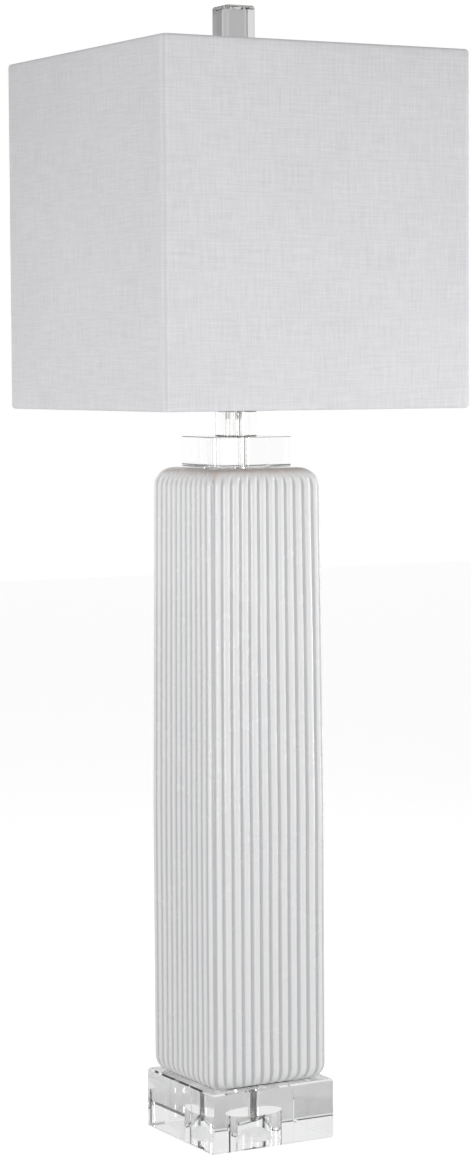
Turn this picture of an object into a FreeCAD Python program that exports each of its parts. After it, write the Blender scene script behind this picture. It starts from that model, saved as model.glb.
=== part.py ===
import FreeCAD, Part

import math
import os

from FreeCAD import Rotation, Vector

# Column table lamp: a ribbed, glazed ceramic column clamped by one threaded rod between a
# thick crystal base and a stack of crystal blocks. A harp on the rod's saddle carries a
# square hardback shade and a crystal finial. Millimetres, +Z up. The origin is the middle
# of the base's underside, and the lamp's faces look along X and Y.

# ------------------------------------------------------------------ driving dimensions

# Crystal base block, recessed underneath for the rod's nut
BASE_SIDE = 115.0
BASE_HEIGHT = 49.5
BASE_BEVEL = 1.3
RECESS_RADIUS = 25.5
RECESS_DEPTH = 22.0

# Threaded rod of lamp pipe, with its washer and nuts
ROD_RADIUS = 4.9
ROD_BORE_RADIUS = 3.2
ROD_TAIL = 4.0
ROD_IN_SOCKET = 7.0
ROD_HOLE_CLEARANCE = 0.6
THREAD_CLEARANCE = 0.05
WASHER_RADIUS = 16.0
WASHER_THICKNESS = 1.6
NUT_ACROSS_FLATS = 14.3
NUT_HEIGHT = 4.5
NUT_CHAMFER = 0.75

# Clear gaskets between glass and ceramic
GASKET_THICKNESS = 0.8
TOP_GASKET_RADIUS = 27.0

# Glazed ceramic column
COLUMN_HEIGHT = 507.0
COLUMN_FOOT_HALF = 55.0
COLUMN_TOP_HALF = 53.0
COLUMN_CORNER = 11.0
COLUMN_WALL = 6.0
COLUMN_FLOOR = 8.0
RIB_COUNT = 48
RIB_DEPTH = 1.8
RIB_END_DEPTH = 0.1
GROOVE_SHARE = 0.30
TOP_SHOULDER_INSET = 13.0
TOP_SHOULDER_RISE = 16.0
TOP_RIB_FADE_DEG = 60.0
FOOT_SHOULDER_INSET = 8.0
FOOT_SHOULDER_RISE = 12.0
FOOT_RIB_FADE_DEG = 100.0

# Cord bushing through the back of the column, near its foot
BUSHING_HEIGHT = 26.0
BUSHING_RADIUS = 6.0
BUSHING_BORE_RADIUS = 4.0
BUSHING_FLANGE_RADIUS = 8.5
BUSHING_FLANGE_THICKNESS = 2.2
BUSHING_FLANGE_CHAMFER = 1.1
BUSHING_INSIDE_LENGTH = 2.0
BUSHING_CLEARANCE = 0.2

# Crystal plate, crystal neck and the metal cap on it
PLATE_SIDE = 66.4
PLATE_HEIGHT = 24.7
NECK_SIDE = 25.4
NECK_HEIGHT = 20.6
BLOCK_BEVEL = 0.9
CAP_SIDE = 26.2
CAP_HEIGHT = 2.0
CAP_BEVEL = 0.5

# Harp saddle: a strip under the socket, with a prong turned up at each end
SADDLE_HALF_LENGTH = 27.5
SADDLE_WIDTH = 12.0
SADDLE_THICKNESS = 1.5
PRONG_WIDTH = 4.4
PRONG_HEIGHT = 13.0

# Lamp socket
SOCKET_HUB_RADIUS = 8.0
SOCKET_HUB_HEIGHT = 6.0
SOCKET_CAP_HEIGHT = 23.0
SOCKET_CAP_RADIUS = 17.0
SOCKET_CAP_WALL = 0.9
SOCKET_BELL_RISE = 7.0
SOCKET_SHELL_RADIUS = 16.0
SOCKET_SHELL_WALL = 0.6
SOCKET_SHELL_OVERLAP = 6.0
SOCKET_HEIGHT = 66.0
LINER_WALL = 0.8
LINER_SHORTFALL = 1.5
SOCKET_FIT = 0.1
INSULATOR_GAP_BELOW = 5.0
INSULATOR_ABOVE_KNOB = 5.0
BULB_BORE_RADIUS = 13.3
SCREW_SHELL_WALL = 0.4
SCREW_SHELL_BEND = 0.8
SCREW_SHELL_SHORTFALL = 3.0
CONTACT_RADIUS = 3.4
CONTACT_TIP_RADIUS = 1.7
CONTACT_HEIGHT = 3.0
CONTACT_TAPER = 1.8
CONTACT_WELL_RADIUS = 6.0
SCREW_SHELL_LEDGE = 3.0
TERMINAL_RADIUS = 2.6
TERMINAL_HEAD = 1.4
TERMINAL_SEAT_DEPTH = 2.6
TERMINAL_SEAT_MARGIN = 1.2
SET_SCREW_RADIUS = 1.6
SET_SCREW_LENGTH = 4.5
SET_SCREW_SLOT_WIDTH = 0.6
SET_SCREW_SLOT_DEPTH = 0.8

# Turning switch knob on the front of the socket
KNOB_ABOVE_CAP = 2.4
KNOB_RADIUS = 5.6
KNOB_LENGTH = 11.0
KNOB_REACH = 12.0
KNOB_FLUTES = 16
KNOB_FLUTE_RADIUS = 0.7
KNOB_CHAMFER = 0.7
STEM_RADIUS = 1.8
STEM_IN_INSULATOR = 6.0
STEM_IN_KNOB = 1.0
STEM_CLEARANCE = 0.08
KNOB_WINDOW_RADIUS = 3.2

# Harp: bow of steel wire with a flat seat at the top
HARP_HEIGHT = 266.7
HARP_WIRE_RADIUS = 1.6
HARP_HALF_WIDTH = 57.0
HARP_LEG_LENGTH = 34.0
HARP_FLARE_HEIGHT = 84.0
HARP_SHOULDER_DROP = 58.0
HARP_TOP_HALF = 24.0
HARP_FLARE_RADIUS = 34.0
HARP_SHOULDER_RADIUS = 44.0
HARP_TOP_RADIUS = 34.0
HARP_SEAT_RADIUS = 8.5
HARP_SEAT_THICKNESS = 3.2
HARP_SEAT_CHAMFER = 0.5

# Sliding ferrules that lock the harp's legs to the saddle's prongs
FERRULE_LENGTH = 14.0
FERRULE_WALL = 0.8
FERRULE_LIP = 0.6

# Swivelling stud on the harp's seat
STUD_SHANK_RADIUS = 2.4
STUD_HEAD_RADIUS = 4.6
STUD_HEAD_HEIGHT = 1.4
STUD_HEAD_CHAMFER = 0.8
STUD_SHOULDER_RADIUS = 7.5
STUD_SHOULDER_HEIGHT = 1.5
STUD_THREAD_RADIUS = 3.1
STUD_THREAD_HEIGHT = 11.0
STUD_TIP_CHAMFER = 0.6

# Square hardback shade: linen over a stiff liner, on two wire frames
SHADE_SIDE = 280.0
SHADE_HEIGHT = 287.0
SHADE_CORNER = 6.0
LINEN_THICKNESS = 0.8
LINER_THICKNESS = 0.8
RIM_WIRE_RADIUS = 1.5
HEM_DEPTH = 7.0
SPIDER_DROP = 14.8
SPIDER_ARM_RADIUS = 1.6
SPIDER_RISE_LENGTH = 14.0
SPIDER_BEND_RADIUS = 20.0
HEM_SLIT_CLEARANCE = 0.4
FITTER_RADIUS = 13.0
FITTER_HOLE_RADIUS = 5.2
FITTER_THICKNESS = 2.0
FITTER_CHAMFER = 0.4

# Crystal finial on a threaded metal base
FINIAL_SIDE = 26.5
FINIAL_HEIGHT = 46.5
FINIAL_BEVEL = 1.6
FINIAL_BASE_RADIUS = 9.0
FINIAL_BASE_HEIGHT = 9.0
FINIAL_BASE_CHAMFER = 0.6
FINIAL_RIM_HEIGHT = 2.4
FINIAL_NECK_RADIUS = 6.2
FINIAL_NECK_HEIGHT = 1.4
FINIAL_SPIGOT_WALL = 1.6
FINIAL_SPIGOT_CAP = 2.0
FINIAL_SPIGOT_CLEARANCE = 0.1

# Clearance between faces that move against each other, and between face and face of one body
RUN_GAP = 0.3
SHAFT_CLEARANCE = 0.06

# ------------------------------------------------------------------ levels up the lamp

Z_COLUMN = BASE_HEIGHT + GASKET_THICKNESS
Z_COLUMN_TOP = Z_COLUMN + COLUMN_HEIGHT
Z_PLATE = Z_COLUMN_TOP + GASKET_THICKNESS
Z_NECK = Z_PLATE + PLATE_HEIGHT
Z_CAP = Z_NECK + NECK_HEIGHT
Z_SADDLE = Z_CAP + CAP_HEIGHT
Z_LOCK_NUT = Z_SADDLE + SADDLE_THICKNESS
Z_SOCKET = Z_LOCK_NUT + NUT_HEIGHT
Z_SOCKET_CAP_TOP = Z_SOCKET + SOCKET_CAP_HEIGHT
Z_SOCKET_TOP = Z_SOCKET + SOCKET_HEIGHT
Z_KNOB = Z_SOCKET_CAP_TOP + KNOB_ABOVE_CAP + KNOB_RADIUS
Z_INSULATOR = Z_SOCKET + SOCKET_HUB_HEIGHT + SOCKET_CAP_WALL + INSULATOR_GAP_BELOW
Z_INSULATOR_TOP = Z_KNOB + INSULATOR_ABOVE_KNOB
Z_CONTACT = Z_INSULATOR_TOP - CONTACT_HEIGHT
Z_HARP = Z_LOCK_NUT + RUN_GAP
Z_HARP_TOP = Z_HARP + HARP_HEIGHT
Z_STUD_SHOULDER = Z_HARP_TOP + RUN_GAP
Z_FITTER = Z_STUD_SHOULDER + STUD_SHOULDER_HEIGHT + RUN_GAP
Z_FITTER_TOP = Z_FITTER + FITTER_THICKNESS
Z_SHADE_TOP = Z_FITTER_TOP + SPIDER_DROP
Z_SHADE_BOTTOM = Z_SHADE_TOP - SHADE_HEIGHT
Z_FINIAL = Z_FITTER_TOP + RUN_GAP
Z_FINIAL_BLOCK = Z_FINIAL + FINIAL_BASE_HEIGHT
Z_RECESS_WASHER = RECESS_DEPTH - WASHER_THICKNESS
Z_BASE_NUT = Z_RECESS_WASHER - NUT_HEIGHT
Z_ROD_BOTTOM = Z_BASE_NUT - ROD_TAIL
Z_ROD_TOP = Z_SOCKET + ROD_IN_SOCKET

ROD_HOLE_RADIUS = ROD_RADIUS + ROD_HOLE_CLEARANCE
UP = Vector(0, 0, 1)
BACK = Vector(0, 1, 0)
FRONT = Vector(0, -1, 0)


# ------------------------------------------------------------------ shared shapes

def rod_between(radius, z_low, z_high):
    """Upright cylinder on the lamp's axis."""
    return Part.makeCylinder(radius, z_high - z_low, Vector(0, 0, z_low), UP)


def ring_between(outer, inner, z_low, z_high):
    """Upright tube on the lamp's axis."""
    return rod_between(outer, z_low, z_high).cut(rod_between(inner, z_low, z_high))


def square_prism(side, z_low, z_high, corner=0.0):
    """Square block on the lamp's axis, with its upright edges rounded if corner is given."""
    half = side / 2
    block = Part.makeBox(side, side, z_high - z_low, Vector(-half, -half, z_low))
    if corner > 0:
        upright = [e for e in block.Edges if abs(e.tangentAt(e.FirstParameter).z) > 0.9]
        block = block.makeFillet(corner, upright)
    return block


def bevelled_block(side, z_low, z_high, bevel):
    """Cut crystal block: every edge has the same small bevel."""
    block = square_prism(side, z_low, z_high)
    return block.makeChamfer(bevel, block.Edges)


def hexagon_nut(z_low, height):
    """Hexagon nut on the rod, its corners turned off at both faces."""
    corner_radius = NUT_ACROSS_FLATS / 2 / math.cos(math.pi / 6)
    corners = []
    for k in range(7):
        turn = math.radians(60 * k + 30)
        corners.append(Vector(corner_radius * math.cos(turn), corner_radius * math.sin(turn), z_low))
    blank = Part.Face(Part.makePolygon(corners)).extrude(Vector(0, 0, height))
    turned = rod_between(corner_radius, z_low, z_low + height)
    turned = turned.makeChamfer(NUT_CHAMFER, turned.Edges[0:1] + turned.Edges[2:3])
    return blank.common(turned).cut(rod_between(ROD_RADIUS + THREAD_CLEARANCE, z_low, z_low + height))


def revolved(profile):
    """Solid turned about the lamp's axis from a closed list of (radius, height) points."""
    points = [Vector(r, 0, z) for r, z in profile]
    face = Part.Face(Part.makePolygon(points + points[:1]))
    return face.revolve(Vector(0, 0, 0), UP, 360)


# ------------------------------------------------------------------ base and rod

def crystal_base():
    block = bevelled_block(BASE_SIDE, 0, BASE_HEIGHT, BASE_BEVEL)
    recess = rod_between(RECESS_RADIUS, 0, RECESS_DEPTH)
    return block.cut(recess).cut(rod_between(ROD_HOLE_RADIUS, RECESS_DEPTH, BASE_HEIGHT))


def base_washer():
    return ring_between(WASHER_RADIUS, ROD_RADIUS + THREAD_CLEARANCE, Z_RECESS_WASHER, RECESS_DEPTH)


def base_nut():
    return hexagon_nut(Z_BASE_NUT, NUT_HEIGHT)


def lock_nut():
    return hexagon_nut(Z_LOCK_NUT, NUT_HEIGHT)


def threaded_rod():
    return ring_between(ROD_RADIUS, ROD_BORE_RADIUS, Z_ROD_BOTTOM, Z_ROD_TOP)


def foot_gasket():
    side = 2 * (COLUMN_FOOT_HALF - FOOT_SHOULDER_INSET)
    sheet = square_prism(side, BASE_HEIGHT, Z_COLUMN, COLUMN_CORNER)
    return sheet.cut(rod_between(ROD_HOLE_RADIUS, BASE_HEIGHT, Z_COLUMN))


def top_gasket():
    return ring_between(TOP_GASKET_RADIUS, ROD_HOLE_RADIUS, Z_COLUMN_TOP, Z_PLATE)


# ------------------------------------------------------------------ ribbed column

def outline_point(half, corner, distance, inset, z):
    """Point on a rounded square, distance along it from the middle of a corner, pushed inwards."""
    flat = 2 * (half - corner)
    quarter_arc = corner * math.pi / 2
    side, along = divmod(distance, flat + quarter_arc)
    if along < quarter_arc / 2:
        turn = along / corner - math.pi / 4
        centre_y = corner - half
    elif along <= quarter_arc / 2 + flat:
        turn = 0.0
        centre_y = corner - half + along - quarter_arc / 2
    else:
        turn = (along - quarter_arc / 2 - flat) / corner
        centre_y = half - corner
    radius = corner - inset
    point = Vector(half - corner + radius * math.cos(turn), centre_y + radius * math.sin(turn), z)
    return Rotation(UP, 90 * side).multVec(point)


def ribbed_outline(half, corner, depth, z):
    """Closed outline of convex ribs, each meeting the next in a narrow round groove.

    The ribs are evenly spaced along a rounded square, with a groove at each corner's middle.
    """
    pitch = 4 * (2 * (half - corner) + corner * math.pi / 2) / RIB_COUNT
    half_groove = pitch * GROOVE_SHARE / 2
    rib_edge_inset = depth * (1 - GROOVE_SHARE)
    edges = []
    for k in range(RIB_COUNT):
        start = outline_point(half, corner, k * pitch + half_groove, rib_edge_inset, z)
        crown = outline_point(half, corner, (k + 0.5) * pitch, 0, z)
        end = outline_point(half, corner, (k + 1) * pitch - half_groove, rib_edge_inset, z)
        edges.append(Part.Arc(start, crown, end).toShape())
        following = (k + 1) % RIB_COUNT
        floor = outline_point(half, corner, following * pitch, depth, z)
        restart = outline_point(half, corner, following * pitch + half_groove, rib_edge_inset, z)
        edges.append(Part.Arc(end, floor, restart).toShape())
    return Part.Wire(edges)


def shoulder_outline(half, inset, rise, z_start, turn_deg, fade_deg):
    """Ribbed outline part of the way round a shoulder: 0 is upright wall, 90 is the flat end."""
    turn = math.radians(turn_deg)
    shrink = 1 - inset * (1 - math.cos(turn)) / half
    fade = math.cos(math.radians(min(90.0, turn_deg * 90.0 / fade_deg)))
    depth = max(RIB_END_DEPTH, RIB_DEPTH * fade)
    return ribbed_outline(half * shrink, COLUMN_CORNER * shrink, depth, z_start + rise * math.sin(turn))


def column():
    z_foot = Z_COLUMN + FOOT_SHOULDER_RISE
    z_shoulder = Z_COLUMN_TOP - TOP_SHOULDER_RISE
    z_middle = (z_foot + z_shoulder) / 2
    foot = [
        shoulder_outline(COLUMN_FOOT_HALF, FOOT_SHOULDER_INSET, -FOOT_SHOULDER_RISE, z_foot,
                         turn, FOOT_RIB_FADE_DEG)
        for turn in (90, 68, 45, 22, 0)]
    top = [
        shoulder_outline(COLUMN_TOP_HALF, TOP_SHOULDER_INSET, TOP_SHOULDER_RISE, z_shoulder,
                         turn, TOP_RIB_FADE_DEG)
        for turn in (0, 18, 36, 54, 72, 90)]
    middle = ribbed_outline(COLUMN_FOOT_HALF, COLUMN_CORNER, RIB_DEPTH, z_middle)
    body = Part.makeLoft([foot[-1], middle, top[0]], True, True)
    outside = body.fuse([Part.makeLoft(foot, True, False), Part.makeLoft(top, True, False)])

    cavity_side = 2 * (COLUMN_TOP_HALF - RIB_DEPTH - COLUMN_WALL)
    cavity = square_prism(cavity_side, Z_COLUMN + COLUMN_FLOOR, Z_COLUMN_TOP - COLUMN_FLOOR,
                          COLUMN_CORNER - RIB_DEPTH)
    rod_hole = rod_between(ROD_HOLE_RADIUS, Z_COLUMN, Z_COLUMN_TOP)
    cord_hole = Part.makeCylinder(BUSHING_RADIUS + BUSHING_CLEARANCE, BASE_SIDE / 2,
                                  Vector(0, 0, Z_COLUMN + BUSHING_HEIGHT), BACK)
    return outside.cut([cavity, rod_hole, cord_hole])


def cord_bushing():
    axis_start = Z_COLUMN + BUSHING_HEIGHT
    y_inside = COLUMN_TOP_HALF - RIB_DEPTH - COLUMN_WALL - BUSHING_INSIDE_LENGTH
    y_flange = COLUMN_FOOT_HALF
    y_outside = y_flange + BUSHING_FLANGE_THICKNESS
    sleeve = Part.makeCylinder(BUSHING_RADIUS, y_outside - y_inside, Vector(0, y_inside, axis_start), BACK)
    flange = Part.makeCylinder(BUSHING_FLANGE_RADIUS, BUSHING_FLANGE_THICKNESS,
                               Vector(0, y_flange, axis_start), BACK)
    rim = [e for e in flange.Edges if len(e.Vertexes) == 1 and e.CenterOfMass.y > y_outside - 0.01]
    flange = flange.makeChamfer(BUSHING_FLANGE_CHAMFER, rim)
    bore = Part.makeCylinder(BUSHING_BORE_RADIUS, y_outside - y_inside, Vector(0, y_inside, axis_start), BACK)
    return sleeve.fuse(flange).cut(bore)


# ------------------------------------------------------------------ crystal blocks on the column

def crystal_plate():
    block = bevelled_block(PLATE_SIDE, Z_PLATE, Z_NECK, BLOCK_BEVEL)
    return block.cut(rod_between(ROD_HOLE_RADIUS, Z_PLATE, Z_NECK))


def crystal_neck():
    block = bevelled_block(NECK_SIDE, Z_NECK, Z_CAP, BLOCK_BEVEL)
    return block.cut(rod_between(ROD_HOLE_RADIUS, Z_NECK, Z_CAP))


def neck_cap():
    block = bevelled_block(CAP_SIDE, Z_CAP, Z_SADDLE, CAP_BEVEL)
    return block.cut(rod_between(ROD_RADIUS + THREAD_CLEARANCE, Z_CAP, Z_SADDLE))


# ------------------------------------------------------------------ harp saddle and harp

PRONG_INNER = SADDLE_HALF_LENGTH - SADDLE_THICKNESS
LEG_X = PRONG_INNER - RUN_GAP - HARP_WIRE_RADIUS
FERRULE_X = (LEG_X - HARP_WIRE_RADIUS + SADDLE_HALF_LENGTH) / 2
FERRULE_BORE_RADIUS = RUN_GAP + math.hypot(SADDLE_HALF_LENGTH - FERRULE_X, PRONG_WIDTH / 2)


def harp_saddle():
    strip = Part.makeBox(2 * SADDLE_HALF_LENGTH, SADDLE_WIDTH, SADDLE_THICKNESS,
                         Vector(-SADDLE_HALF_LENGTH, -SADDLE_WIDTH / 2, Z_SADDLE))
    ends = [e for e in strip.Edges if abs(e.tangentAt(e.FirstParameter).z) > 0.9]
    strip = strip.makeFillet((SADDLE_WIDTH - PRONG_WIDTH) / 2, ends)
    for side in (-1, 1):
        x_low = min(side * PRONG_INNER, side * SADDLE_HALF_LENGTH)
        prong = Part.makeBox(SADDLE_THICKNESS, PRONG_WIDTH, SADDLE_THICKNESS + PRONG_HEIGHT,
                             Vector(x_low, -PRONG_WIDTH / 2, Z_SADDLE))
        strip = strip.fuse(prong)
    hole = rod_between(ROD_RADIUS + THREAD_CLEARANCE, Z_SADDLE, Z_LOCK_NUT)
    return strip.removeSplitter().cut(hole)


def rounded_path(points, radii):
    """Wire of straight runs joined by tangent arcs, one radius for each inner point."""
    edges = []
    here = points[0]
    for before, corner, after, radius in zip(points, points[1:], points[2:], radii):
        back = (before - corner).normalize()
        ahead = (after - corner).normalize()
        half_angle = back.getAngle(ahead) / 2
        reach = radius / math.tan(half_angle)
        bisector = (back + ahead).normalize()
        start = corner + back * reach
        end = corner + ahead * reach
        middle = corner + bisector * (radius / math.sin(half_angle) - radius)
        edges.append(Part.LineSegment(here, start).toShape())
        edges.append(Part.Arc(start, middle, end).toShape())
        here = end
    edges.append(Part.LineSegment(here, points[-1]).toShape())
    return Part.Wire(edges)


def harp():
    z_wire_top = Z_HARP_TOP - HARP_SEAT_THICKNESS / 2
    right = [
        Vector(LEG_X, 0, Z_HARP),
        Vector(LEG_X, 0, Z_HARP + HARP_LEG_LENGTH),
        Vector(HARP_HALF_WIDTH, 0, Z_HARP + HARP_FLARE_HEIGHT),
        Vector(HARP_HALF_WIDTH, 0, z_wire_top - HARP_SHOULDER_DROP),
        Vector(HARP_TOP_HALF, 0, z_wire_top),
    ]
    left = [Vector(-p.x, 0, p.z) for p in reversed(right)]
    radii = [HARP_FLARE_RADIUS, HARP_FLARE_RADIUS, HARP_SHOULDER_RADIUS, HARP_TOP_RADIUS]
    path = rounded_path(right + left, radii + radii[::-1])
    section = Part.Wire(Part.makeCircle(HARP_WIRE_RADIUS, right[0], UP))
    bow = path.makePipeShell([section], True, False)
    seat = rod_between(HARP_SEAT_RADIUS, Z_HARP_TOP - HARP_SEAT_THICKNESS, Z_HARP_TOP)
    seat = seat.makeChamfer(HARP_SEAT_CHAMFER, [e for e in seat.Edges if len(e.Vertexes) == 1])
    hole = rod_between(STUD_SHANK_RADIUS + SHAFT_CLEARANCE,
                       Z_HARP_TOP - HARP_SEAT_THICKNESS - RUN_GAP, Z_HARP_TOP)
    return bow.fuse(seat).cut(hole)


def ferrule(side):
    """Sleeve round one harp leg and the saddle's prong, flared to a finger lip at its top."""
    outer = FERRULE_BORE_RADIUS + FERRULE_WALL
    z_top = Z_HARP + FERRULE_LENGTH
    sleeve = revolved([
        (FERRULE_BORE_RADIUS, Z_HARP),
        (outer, Z_HARP),
        (outer, z_top - 3 * FERRULE_LIP),
        (outer + FERRULE_LIP, z_top - 2 * FERRULE_LIP),
        (outer + FERRULE_LIP, z_top - FERRULE_LIP),
        (outer, z_top),
        (FERRULE_BORE_RADIUS, z_top),
    ])
    sleeve.translate(Vector(side * FERRULE_X, 0, 0))
    return sleeve


def harp_stud():
    z_head = Z_HARP_TOP - HARP_SEAT_THICKNESS - RUN_GAP - STUD_HEAD_HEIGHT
    z_shoulder_top = Z_STUD_SHOULDER + STUD_SHOULDER_HEIGHT
    z_thread_top = z_shoulder_top + STUD_THREAD_HEIGHT
    return revolved([
        (0, z_head),
        (STUD_HEAD_RADIUS - STUD_HEAD_CHAMFER, z_head),
        (STUD_HEAD_RADIUS, z_head + STUD_HEAD_CHAMFER),
        (STUD_HEAD_RADIUS, z_head + STUD_HEAD_HEIGHT),
        (STUD_SHANK_RADIUS, z_head + STUD_HEAD_HEIGHT),
        (STUD_SHANK_RADIUS, Z_STUD_SHOULDER),
        (STUD_SHOULDER_RADIUS, Z_STUD_SHOULDER),
        (STUD_SHOULDER_RADIUS, z_shoulder_top),
        (STUD_THREAD_RADIUS, z_shoulder_top),
        (STUD_THREAD_RADIUS, z_thread_top - STUD_TIP_CHAMFER),
        (STUD_THREAD_RADIUS - STUD_TIP_CHAMFER, z_thread_top),
        (0, z_thread_top),
    ])


# ------------------------------------------------------------------ socket

LINER_RADIUS = SOCKET_SHELL_RADIUS - SOCKET_SHELL_WALL - SOCKET_FIT
LINER_INNER = LINER_RADIUS - LINER_WALL
INSULATOR_RADIUS = LINER_INNER - SOCKET_FIT
SCREW_SHELL_RADIUS = BULB_BORE_RADIUS + SCREW_SHELL_WALL
Z_SHELL = Z_SOCKET_CAP_TOP - SOCKET_SHELL_OVERLAP
CAP_INNER = SOCKET_CAP_RADIUS - SOCKET_CAP_WALL
TERMINAL_SEAT_X = INSULATOR_RADIUS - TERMINAL_SEAT_DEPTH
TERMINAL_SEAT_HALF = TERMINAL_RADIUS + TERMINAL_SEAT_MARGIN


def front_cylinder(radius, y_from, y_to):
    """Cylinder along the switch knob's axis, between two distances in front of the lamp's axis."""
    return Part.makeCylinder(radius, y_to - y_from, Vector(0, -y_from, Z_KNOB), FRONT)


def bell(hub, rim, z_low):
    """Points up a quarter ellipse, from a flat floor at the hub out to an upright wall at the rim."""
    turns = [math.radians(degrees) for degrees in (0, 22.5, 45, 67.5, 90)]
    return [(hub + (rim - hub) * math.sin(turn), z_low + SOCKET_BELL_RISE * (1 - math.cos(turn)))
            for turn in turns]


def socket_cap():
    """Spun metal cup with a threaded hub, which the socket's shell snaps into."""
    z_floor = Z_SOCKET + SOCKET_HUB_HEIGHT
    bore = ROD_RADIUS + THREAD_CLEARANCE
    outside = bell(SOCKET_HUB_RADIUS, SOCKET_CAP_RADIUS, z_floor)
    inside = bell(SOCKET_HUB_RADIUS, CAP_INNER, z_floor + SOCKET_CAP_WALL)
    hub = [(bore, z_floor + SOCKET_CAP_WALL), (bore, Z_SOCKET), (SOCKET_HUB_RADIUS, Z_SOCKET)]
    rim = [(SOCKET_CAP_RADIUS, Z_SOCKET_CAP_TOP), (CAP_INNER, Z_SOCKET_CAP_TOP)]
    screw_hole = Part.makeCylinder(SET_SCREW_RADIUS + THREAD_CLEARANCE, SOCKET_HUB_RADIUS,
                                   Vector(0, 0, Z_SOCKET + SOCKET_HUB_HEIGHT / 2), BACK)
    return revolved(hub + outside + rim + inside[::-1]).cut(screw_hole)


def socket_set_screw():
    y_tip = ROD_RADIUS
    z_screw = Z_SOCKET + SOCKET_HUB_HEIGHT / 2
    screw = Part.makeCylinder(SET_SCREW_RADIUS, SET_SCREW_LENGTH, Vector(0, y_tip, z_screw), BACK)
    slot = Part.makeBox(2 * SET_SCREW_RADIUS, SET_SCREW_SLOT_DEPTH, SET_SCREW_SLOT_WIDTH,
                        Vector(-SET_SCREW_RADIUS, y_tip + SET_SCREW_LENGTH - SET_SCREW_SLOT_DEPTH,
                               z_screw - SET_SCREW_SLOT_WIDTH / 2))
    return screw.cut(slot)


def socket_shell():
    """Metal shell: a plain tube with a rolled bead at its mouth and a window for the switch stem."""
    wall = SOCKET_SHELL_WALL
    tube = revolved([
        (SOCKET_SHELL_RADIUS - wall, Z_SHELL),
        (SOCKET_SHELL_RADIUS, Z_SHELL),
        (SOCKET_SHELL_RADIUS, Z_SOCKET_TOP - 3 * wall),
        (SOCKET_SHELL_RADIUS + wall, Z_SOCKET_TOP - 2 * wall),
        (SOCKET_SHELL_RADIUS + wall, Z_SOCKET_TOP - wall),
        (SOCKET_SHELL_RADIUS, Z_SOCKET_TOP),
        (SOCKET_SHELL_RADIUS - wall, Z_SOCKET_TOP),
    ])
    return tube.cut(front_cylinder(KNOB_WINDOW_RADIUS, INSULATOR_RADIUS, SOCKET_CAP_RADIUS))


def socket_liner():
    tube = ring_between(LINER_RADIUS, LINER_INNER, Z_SHELL, Z_SOCKET_TOP - LINER_SHORTFALL)
    return tube.cut(front_cylinder(KNOB_WINDOW_RADIUS, INSULATOR_RADIUS - SOCKET_FIT, SOCKET_CAP_RADIUS))


def socket_insulator():
    """Moulded body that holds the switch, the contact and the screw shell."""
    body = rod_between(INSULATOR_RADIUS, Z_INSULATOR, Z_INSULATOR_TOP)
    body = body.cut(front_cylinder(STEM_RADIUS + STEM_CLEARANCE, INSULATOR_RADIUS - STEM_IN_INSULATOR,
                                   INSULATOR_RADIUS + 1))
    for side in (-1, 1):
        x_low = min(side * INSULATOR_RADIUS, side * TERMINAL_SEAT_X)
        seat = Part.makeBox(TERMINAL_SEAT_DEPTH, 2 * TERMINAL_SEAT_HALF, 2 * TERMINAL_SEAT_HALF,
                            Vector(x_low, -TERMINAL_SEAT_HALF, Z_INSULATOR))
        body = body.cut(seat)
    return body.cut(rod_between(CONTACT_WELL_RADIUS, Z_CONTACT, Z_INSULATOR_TOP))


def terminal_screws():
    """The two screws that clamp the wires, on the sides of the insulator."""
    z_screw = Z_INSULATOR + TERMINAL_SEAT_HALF
    screws = [
        Part.makeCylinder(TERMINAL_RADIUS, TERMINAL_HEAD, Vector(side * TERMINAL_SEAT_X, 0, z_screw),
                          Vector(side, 0, 0))
        for side in (-1, 1)]
    return Part.makeCompound(screws)


def screw_shell():
    """Brass cup that takes the bulb's screw base, drawn with a plain wall above its bent-in floor."""
    z_floor = Z_INSULATOR_TOP + SCREW_SHELL_WALL
    z_high = Z_SOCKET_TOP - SCREW_SHELL_SHORTFALL
    floor_hole = BULB_BORE_RADIUS - SCREW_SHELL_LEDGE
    return revolved([
        (floor_hole, Z_INSULATOR_TOP),
        (SCREW_SHELL_RADIUS - SCREW_SHELL_BEND, Z_INSULATOR_TOP),
        (SCREW_SHELL_RADIUS, Z_INSULATOR_TOP + SCREW_SHELL_BEND),
        (SCREW_SHELL_RADIUS, z_high),
        (BULB_BORE_RADIUS, z_high),
        (BULB_BORE_RADIUS, z_floor + SCREW_SHELL_BEND),
        (BULB_BORE_RADIUS - SCREW_SHELL_BEND, z_floor),
        (floor_hole, z_floor),
    ])


def centre_contact():
    """Sprung brass button in the insulator's well, level with the insulator's top."""
    return revolved([
        (0, Z_CONTACT),
        (CONTACT_RADIUS, Z_CONTACT),
        (CONTACT_RADIUS, Z_INSULATOR_TOP - CONTACT_TAPER),
        (CONTACT_TIP_RADIUS, Z_INSULATOR_TOP),
        (0, Z_INSULATOR_TOP),
    ])


def switch_knob():
    """Fluted knob moulded on its stem; the stem turns in the insulator."""
    y_stem = INSULATOR_RADIUS - STEM_IN_INSULATOR + RUN_GAP
    y_knob = SOCKET_SHELL_RADIUS + KNOB_REACH - KNOB_LENGTH + RUN_GAP
    y_end = y_knob + KNOB_LENGTH
    knob = front_cylinder(KNOB_RADIUS, y_knob, y_end)
    knob = knob.makeChamfer(KNOB_CHAMFER, [e for e in knob.Edges if len(e.Vertexes) == 1])
    flutes = []
    for k in range(KNOB_FLUTES):
        turn = 2 * math.pi * k / KNOB_FLUTES
        flutes.append(Part.makeCylinder(
            KNOB_FLUTE_RADIUS, KNOB_LENGTH,
            Vector(KNOB_RADIUS * math.cos(turn), -y_knob, Z_KNOB + KNOB_RADIUS * math.sin(turn)), FRONT))
    return knob.cut(flutes).fuse(front_cylinder(STEM_RADIUS, y_stem, y_knob + STEM_IN_KNOB))


# ------------------------------------------------------------------ shade

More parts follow.
